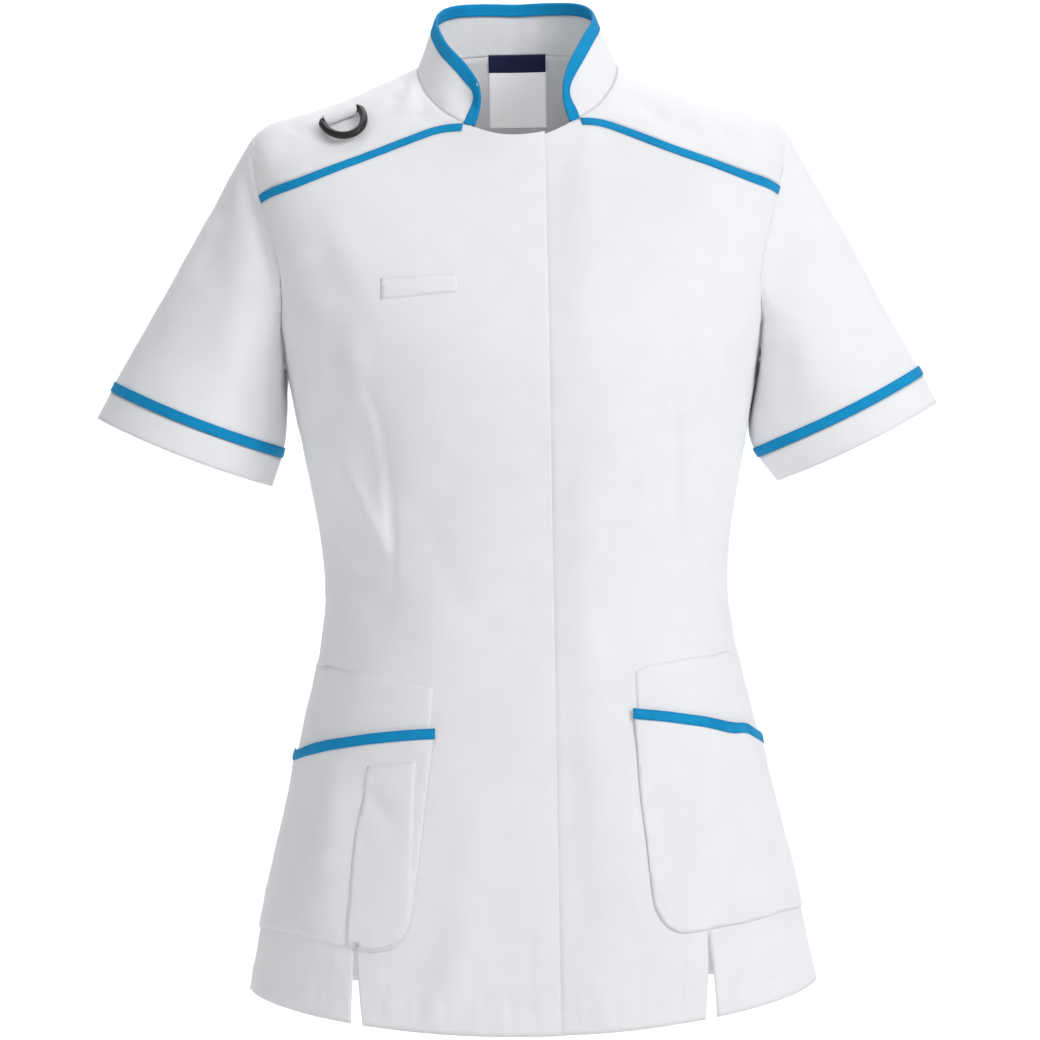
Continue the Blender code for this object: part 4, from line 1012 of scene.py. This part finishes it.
@dataclass
class Layer:
    """Patch of cloth that lies on a front: a pocket, its lining, a trim or a welt."""

    node: str
    base: str
    lift: float
    slot: Slot = Slot.WHITE
    finish: str = "white"
    stitches: tuple[float, ...] = SINGLE
    width: float = 0.15
    length: float = 0.20
    share: float = 0.8
    mouth: float = 0.0
    pitch: float = 0.0032
    drop: float = 0.0005

    def build(self, torso: Torso, nodes: dict) -> tuple[Skin, BVHTree]:
        """Cut the patch flat, lay it on the creased front and show it.

        Args:
            torso: The sewn pieces.
            nodes: The CAD nodes.

        Returns:
            The skin and its search tree.
        """
        mesh = outer_part(nodes[self.node])
        coarse = np.array([tuple(vertex.co) for vertex in mesh.vertices])
        faces = [tuple(face.vertices) for face in mesh.polygons]
        loop = max(Skin(self.node, coarse, faces).loops, key=len)
        rim = coarse[loop]
        flat = np.stack([np.arctan2(rim[:, 0], -(rim[:, 1] - AXIS_Y)) * GIRTH, rim[:, 2]], axis=1)
        outline = smooth_outline(flat)
        spots, tiles = self._fill(outline)
        angle = spots[:, 0] / GIRTH
        outward = turned(angle)
        tree = torso.trees[self.base]
        base_points = []
        base_normals = []
        for spot, way in zip(spots, outward):
            start = Vector((0.0, AXIS_Y, spot[1]))
            hit, normal, _, _ = tree.ray_cast(start, Vector(way))
            if hit is None:
                guess = start + Vector(way) * 0.16
                hit, normal, _, _ = tree.find_nearest(guess)
            base_points.append(hit)
            base_normals.append(normal)
        points = np.array(base_points)
        normals = np.array(base_normals)
        facing = (normals * outward).sum(1) < 0
        normals[facing] *= -1
        rim_far, _ = along_line(spots, np.append(outline, outline[:1], axis=0))
        lift = self.lift - self.drop * (1.0 - smoothstep(0.0, 0.0022, rim_far))
        loose = min(1.0, self.lift / 0.0016)
        lift += loose * 0.00030 * unrest(points, 0.030, 31 + len(self.node)) * smoothstep(0.0, 0.012,
                                                                                         rim_far)
        lift += loose * 0.00022 * ripple(spots @ np.array([0.7, 0.7]), 0.012, 3) * np.exp(
            -(((rim_far - 0.003) / 0.004) ** 2))
        if self.mouth:
            top = spots[:, 1] - np.interp(spots[:, 0], *self._upper(outline))
            lift += self.mouth * (1.0 - smoothstep(0.0, 0.030, -top))
        skin = Skin(self.node, points + normals * lift[:, None], tiles)
        item = skin.object(self.slot, self.finish, 0.0006)
        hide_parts(self.node)
        LOG.info("%s: %d faces", self.node, len(tiles))
        return skin, skin.tree()

    def _fill(self, outline: np.ndarray) -> tuple[np.ndarray, list]:
        """Fill an outline with small tiles.

        Args:
            outline: Closed outline in two dimensions.

        Returns:
            Points and faces.
        """
        low = outline.min(axis=0)
        high = outline.max(axis=0)
        grid = np.stack(np.meshgrid(np.arange(low[0], high[0], self.pitch),
                                    np.arange(low[1], high[1], self.pitch)), axis=-1).reshape(-1, 2)
        ring = np.append(outline, outline[:1], axis=0)
        far, _ = along_line(grid, ring)
        crossings = np.zeros(len(grid), int)
        for start, end in zip(ring[:-1], ring[1:]):
            spans = (start[1] > grid[:, 1]) != (end[1] > grid[:, 1])
            if abs(end[1] - start[1]) > 1e-12:
                at = start[0] + (grid[:, 1] - start[1]) * (end[0] - start[0]) / (end[1] - start[1])
                crossings += spans & (grid[:, 0] < at)
        inside = grid[(crossings % 2 == 1) & (far > self.pitch * 0.45)]
        places = [Vector(place) for place in np.concatenate([outline, inside]).tolist()]
        count = len(outline)
        edges = [(index, (index + 1) % count) for index in range(count)]
        found = delaunay_2d_cdt(places, edges, [], 1, 1e-7)
        return np.array([tuple(place) for place in found[0]]), [tuple(face) for face in found[2]]

    def _upper(self, outline: np.ndarray) -> tuple[np.ndarray, np.ndarray]:
        """Upper edge of the outline as a rising table of places and heights."""
        places = np.linspace(outline[:, 0].min(), outline[:, 0].max(), 24)
        heights = []
        for place in places:
            near = np.abs(outline[:, 0] - place) < 0.006
            heights.append(outline[near, 1].max())
        return places, np.array(heights)


LAYERS = (
    *(Layer("pocket_backing_" + side, "front_" + side, 0.0006, width=0.150, length=0.270,
            share=0.85) for side in SIDES),
    *(Layer("pocket_" + side, "front_" + side, 0.0016, width=0.150, length=length, share=share,
            stitches=(0.0015, 0.0065), mouth=0.0010)
      for side, length, share in (("right", 0.215, 0.85), ("left", 0.195, 0.90))),
    Layer("pen_pocket_right", "front_right", 0.0026, width=0.060, length=0.145, share=0.70),
    Layer("chest_pocket_welt_right", "front_right", 0.0005, width=0.062, length=0.016, share=0.98,
          stitches=(0.0012,), drop=0.0003),
    *(Layer("pocket_trim_" + side, "front_" + side, 0.0036, Slot.BLUE, "blue", width=0.170,
            length=0.016, share=0.5, stitches=(0.0010,), pitch=0.0022) for side in SIDES),
)


@dataclass
class Pockets:
    """Everything that lies on the fronts."""

    torso: Torso
    nodes: dict

    def build(self) -> None:
        """Lay every patch and its stitching."""
        white = Thread("pocket_stitching", Slot.WHITE, "thread")
        blue = Thread("pocket_trim_stitching", Slot.BLUE, "blue_thread")
        for layer in LAYERS:
            skin, tree = layer.build(self.torso, self.nodes)
            rows = blue if layer.slot is Slot.BLUE else white
            loop = max(skin.loops, key=len)
            closed = np.append(loop, loop[:1])
            for distance in layer.stitches:
                rows.row(skin.inset(closed, distance), tree)
        white.finish_up()
        blue.finish_up()


@dataclass
class Trims:
    """Blue tape on the yoke seams, round the sleeves and over the collar's free edge."""

    torso: Torso
    nodes: dict
    width: float = 0.0080

    def build(self) -> None:
        """Make the tapes and their stitching."""
        rows = Thread("trim_stitching", Slot.BLUE, "blue_thread")
        for name in ("yoke_trim_right", "yoke_trim_left", "sleeve_trim_right", "sleeve_trim_left"):
            base = "front_" if name.startswith("yoke") else "sleeve_"
            side = name.rsplit("_", 1)[1]
            points, faces = refine(outer_part(self.nodes[name]), 3)
            skin = Skin(name, points, faces)
            normals = skin.normals
            tree = self.torso.trees[base + side]
            for index, point in enumerate(points):
                hit, _, _, _ = tree.find_nearest(Vector(point))
                gap = (point - np.array(hit)) @ normals[index]
                points[index] += normals[index] * (0.0011 - gap)
            skin.points = points
            item = skin.object(Slot.BLUE, "blue", 0.0006)
            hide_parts(name)
            tree = skin.tree()
            for loop in skin.loops:
                rows.row(skin.inset(np.append(loop, loop[:1]), 0.0011), tree)
        self._binding(rows)
        rows.finish_up()

    def _binding(self, rows: Thread) -> None:
        """Fold a tape over the collar's front and top edges.

        Args:
            rows: Stitches of the tapes.
        """
        collar = self.torso.skins["collar"]
        run = max(collar.runs(""), key=len)
        places = collar.points[run]
        ends = [places[0] - places[3], places[-1] - places[-4]]
        ends = [way / np.linalg.norm(way) * 0.0028 for way in ends]
        places = np.concatenate([[places[0] + ends[0]], places, [places[-1] + ends[1]]])
        steps = lengths(places)
        at = np.linspace(0.0, steps[-1], int(steps[-1] / 0.0022))
        edge = between(at, steps, places)
        raw = edge.copy()
        ease(edge, 4)
        normal_all = collar.normals[np.concatenate([run[:1], run, run[-1:]])]
        normal = unit(between(at, steps, normal_all))
        inward = unit(np.cross(normal, np.gradient(edge, axis=0)))
        ease(inward, 40)
        inward = unit(inward)
        bulge = np.maximum(0.0, ((edge - raw) * inward).sum(axis=1))
        wide = np.pad(bulge, 3, mode="edge")
        bulge = np.max([wide[shift:shift + len(bulge)] for shift in range(7)], axis=0)
        tree = self.torso.trees["collar"]
        section = [(reach, 0.0008, 0) for reach in (self.width, 0.0064, 0.0048, 0.0032, 0.0016)]
        section += [(0.0, 0.0, turn) for turn in (75, 35, 0, -35, -75)]
        section += [(reach, -0.0032, 0) for reach in (0.0016, 0.0032, 0.0048, 0.0064, self.width)]
        rings = []
        for reach, lift, turn in section:
            ring = []
            for place, way, up, more in zip(edge, inward, normal, bulge):
                if reach:
                    spot = place + way * reach
                    hit, flat, _, _ = tree.find_nearest(Vector(spot))
                    base, flat = np.array(hit), np.array(flat)
                    if flat @ up < 0:
                        flat = -flat
                    ring.append(base + flat * (lift + (0.0010 if lift < 0 else 0.0)))
                else:
                    angle = math.radians(turn)
                    centre = place - up * 0.0007
                    ring.append(centre + up * 0.0015 * math.sin(angle)
                                - way * (0.0018 + more) * math.cos(angle))
            rings.append(ring)
        points = np.array(rings)
        ease(points.swapaxes(0, 1), 14)
        columns = points.shape[1]
        faces = grid_faces(*points.shape[:2])
        flat_points = points.reshape(-1, 3)
        middle = vertex_normals(flat_points, faces)[columns * 2 + columns // 2]
        if middle @ normal[columns // 2] < 0:
            faces = [face[::-1] for face in faces]
        skin = Skin("collar_binding", flat_points, faces)
        item = skin.object(Slot.BLUE, "blue", 0.0005)
        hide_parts("collar_binding")
        rows.row(points[0] * 0.8 + points[1] * 0.2, skin.tree())
        rows.row(points[-1] * 0.8 + points[-2] * 0.2, skin.tree())


@dataclass
class Closed:
    """Small closed piece that is only smoothed: the ring or its tab."""

    node: str
    slot: Slot
    finish: str
    level: int = 2
    body: str = BODY
    flat: tuple[float, float] | None = None
    swell: float = 0.0

    def build(self, nodes: dict) -> None:
        """Smooth the CAD solid and show it.

        Args:
            nodes: The CAD nodes.
        """
        mesh = as_quads(welded(nodes[self.node]), self.node)
        points, faces = refine(mesh, self.level, 1)
        points = points + vertex_normals(points, faces) * self.swell
        item = make_object(self.node + "_shown", points, faces, self.finish, self.body)
        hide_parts(self.node)


@dataclass
class Label:
    """Bare woven label with a navy band, sewn in at the back of the neck."""

    torso: Torso
    nodes: dict
    half_width: float = 0.0225
    band: float = 0.0135
    pitch: float = 0.0015

    def build(self) -> None:
        """Hang the label on the inside of the back and colour its band."""
        mesh = self.nodes["neck_label"].data
        heights = [vertex.co.z for vertex in mesh.vertices]
        rows = np.arange(max(heights) + 0.0022, min(heights), -self.pitch)
        columns = np.linspace(-self.half_width, self.half_width, 31)
        trees = [self.torso.trees["back"], self.torso.trees["collar"]]
        points = []
        for row in rows:
            for column in columns:
                start = Vector((column, AXIS_Y, row))
                hits = [tree.ray_cast(start, Vector((0.0, 1.0, 0.0)))[0] for tree in trees]
                depth = min(hit.y for hit in hits if hit is not None)
                points.append((column, depth - CLOTH - 0.0011, row))
        grid = np.array(points).reshape(len(rows), len(columns), 3)
        depths = grid[:, :, 1]
        for _ in range(30):
            ease(depths, 1)
            ease(depths.T, 1)
        faces = [(a, d, c, b) for a, b, c, d in grid_faces(len(rows), len(columns))]
        skin = Skin("neck_label", grid.reshape(-1, 3), faces)
        item = skin.object(Slot.LABEL, "label", 0.0004)
        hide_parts("neck_label")
        item.data.materials.append(FINISHES["navy"].material())
        for face in item.data.polygons:
            if face.center.z > rows[0] - self.band:
                face.material_index = 1


@dataclass
class Studio:
    """Backdrop, lights and the photo's view."""

    distance: float = 2.8
    height: float = -0.353
    across: float = -0.0040
    roll: float = 0.0175
    lens: float = 124.26
    floor: float = -1.05

    def build(self) -> None:
        """Add the backdrop, lights and camera."""
        self._backdrop()
        self._lamp("key", (2.2, -2.1, 1.3), 1.3, 50.0)
        self._lamp("fill", (-2.2, -2.4, 0.4), 1.9, 8.0)
        self._lamp("neck", (0.1, -1.7, 0.9), 0.8, 4.0)
        self._lamp("top", (0.1, 0.2, 2.4), 1.8, 12.0)
        self._lamp("rear", (0.0, 1.9, 1.7), 1.6, 16.0)
        self._lamp("paper", (0.0, 0.8, 1.6), 1.6, 55.0, (0.0, 3.9, -0.3))
        self._camera()

    def _backdrop(self) -> None:
        """Pale floor that curves up behind."""
        profile = [(-6.0, self.floor), (1.9, self.floor)]
        for turn in range(5, 91, 5):
            angle = math.radians(turn)
            profile.append((1.9 + 2.0 * math.sin(angle), self.floor + 2.0 * (1 - math.cos(angle))))
        profile.append((3.9, 4.0))
        points = [(x, y, z) for y, z in profile for x in (-6.0, 6.0)]
        faces = [(2 * i, 2 * i + 1, 2 * i + 3, 2 * i + 2) for i in range(len(profile) - 1)]
        mesh = bpy.data.meshes.new("backdrop")
        mesh.from_pydata(points, [], faces)
        mesh.polygons.foreach_set("use_smooth", [True] * len(faces))
        item = bpy.data.objects.new("backdrop", mesh)
        bpy.context.collection.objects.link(item)
        finish = bpy.data.materials.new("pale_paper")
        finish.use_nodes = True
        shader = finish.node_tree.nodes["Principled BSDF"]
        shader.inputs["Base Color"].default_value = (0.98, 0.98, 0.98, 1.0)
        shader.inputs["Roughness"].default_value = 0.9
        mesh.materials.append(finish)

    def _lamp(self, name: str, place: tuple[float, float, float], size: float, power: float,
              target: tuple[float, float, float] = (0.0, 0.0, -0.353)) -> None:
        """Add one soft lamp.

        Args:
            name: Name of the lamp.
            place: Its position.
            size: Side of its square face.
            power: Its power in watts.
            target: Place that it is aimed at.
        """
        lamp = bpy.data.lights.new(name, "AREA")
        lamp.size = size
        lamp.energy = power
        item = bpy.data.objects.new(name, lamp)
        item.location = place
        aim = Vector(target) - item.location
        item.rotation_euler = aim.to_track_quat("-Z", "Y").to_euler()
        bpy.context.collection.objects.link(item)

    def _camera(self) -> None:
        """Stand the camera at the photo's view."""
        lens = bpy.data.cameras.new("camera")
        lens.lens = self.lens
        lens.sensor_width = 36.0
        item = bpy.data.objects.new("camera", lens)
        turn = Matrix.Rotation(self.roll, 4, "Y") @ Matrix.Rotation(math.pi / 2, 4, "X")
        item.matrix_world = Matrix.Translation((self.across, -self.distance, self.height)) @ turn
        bpy.context.collection.objects.link(item)
        scene = bpy.context.scene
        scene.camera = item
        scene.view_settings.view_transform = "Standard"
        world = bpy.data.worlds.new("studio")
        world.use_nodes = True
        world.node_tree.nodes["Background"].inputs["Color"].default_value = (0.98, 0.99, 1.0, 1.0)
        world.node_tree.nodes["Background"].inputs["Strength"].default_value = 0.36
        scene.world = world


def main() -> None:
    """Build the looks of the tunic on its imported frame."""
    logging.basicConfig(level=logging.INFO, format="%(name)s: %(message)s")
    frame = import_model()
    nodes = frame["nodes"]
    torso = Torso(nodes)
    torso.build()
    torso.show()
    torso.stitch()
    Pockets(torso, nodes).build()
    Trims(torso, nodes).build()
    Label(torso, nodes).build()
    Closed("d_ring_tab", Slot.WHITE, "white", flat=(0.022, 0.050)).build(nodes)
    Closed("d_ring", Slot.BLACK, "black", body="d_ring", swell=0.00035).build(nodes)
    Studio().build()


if __name__ == "__main__":
    main()
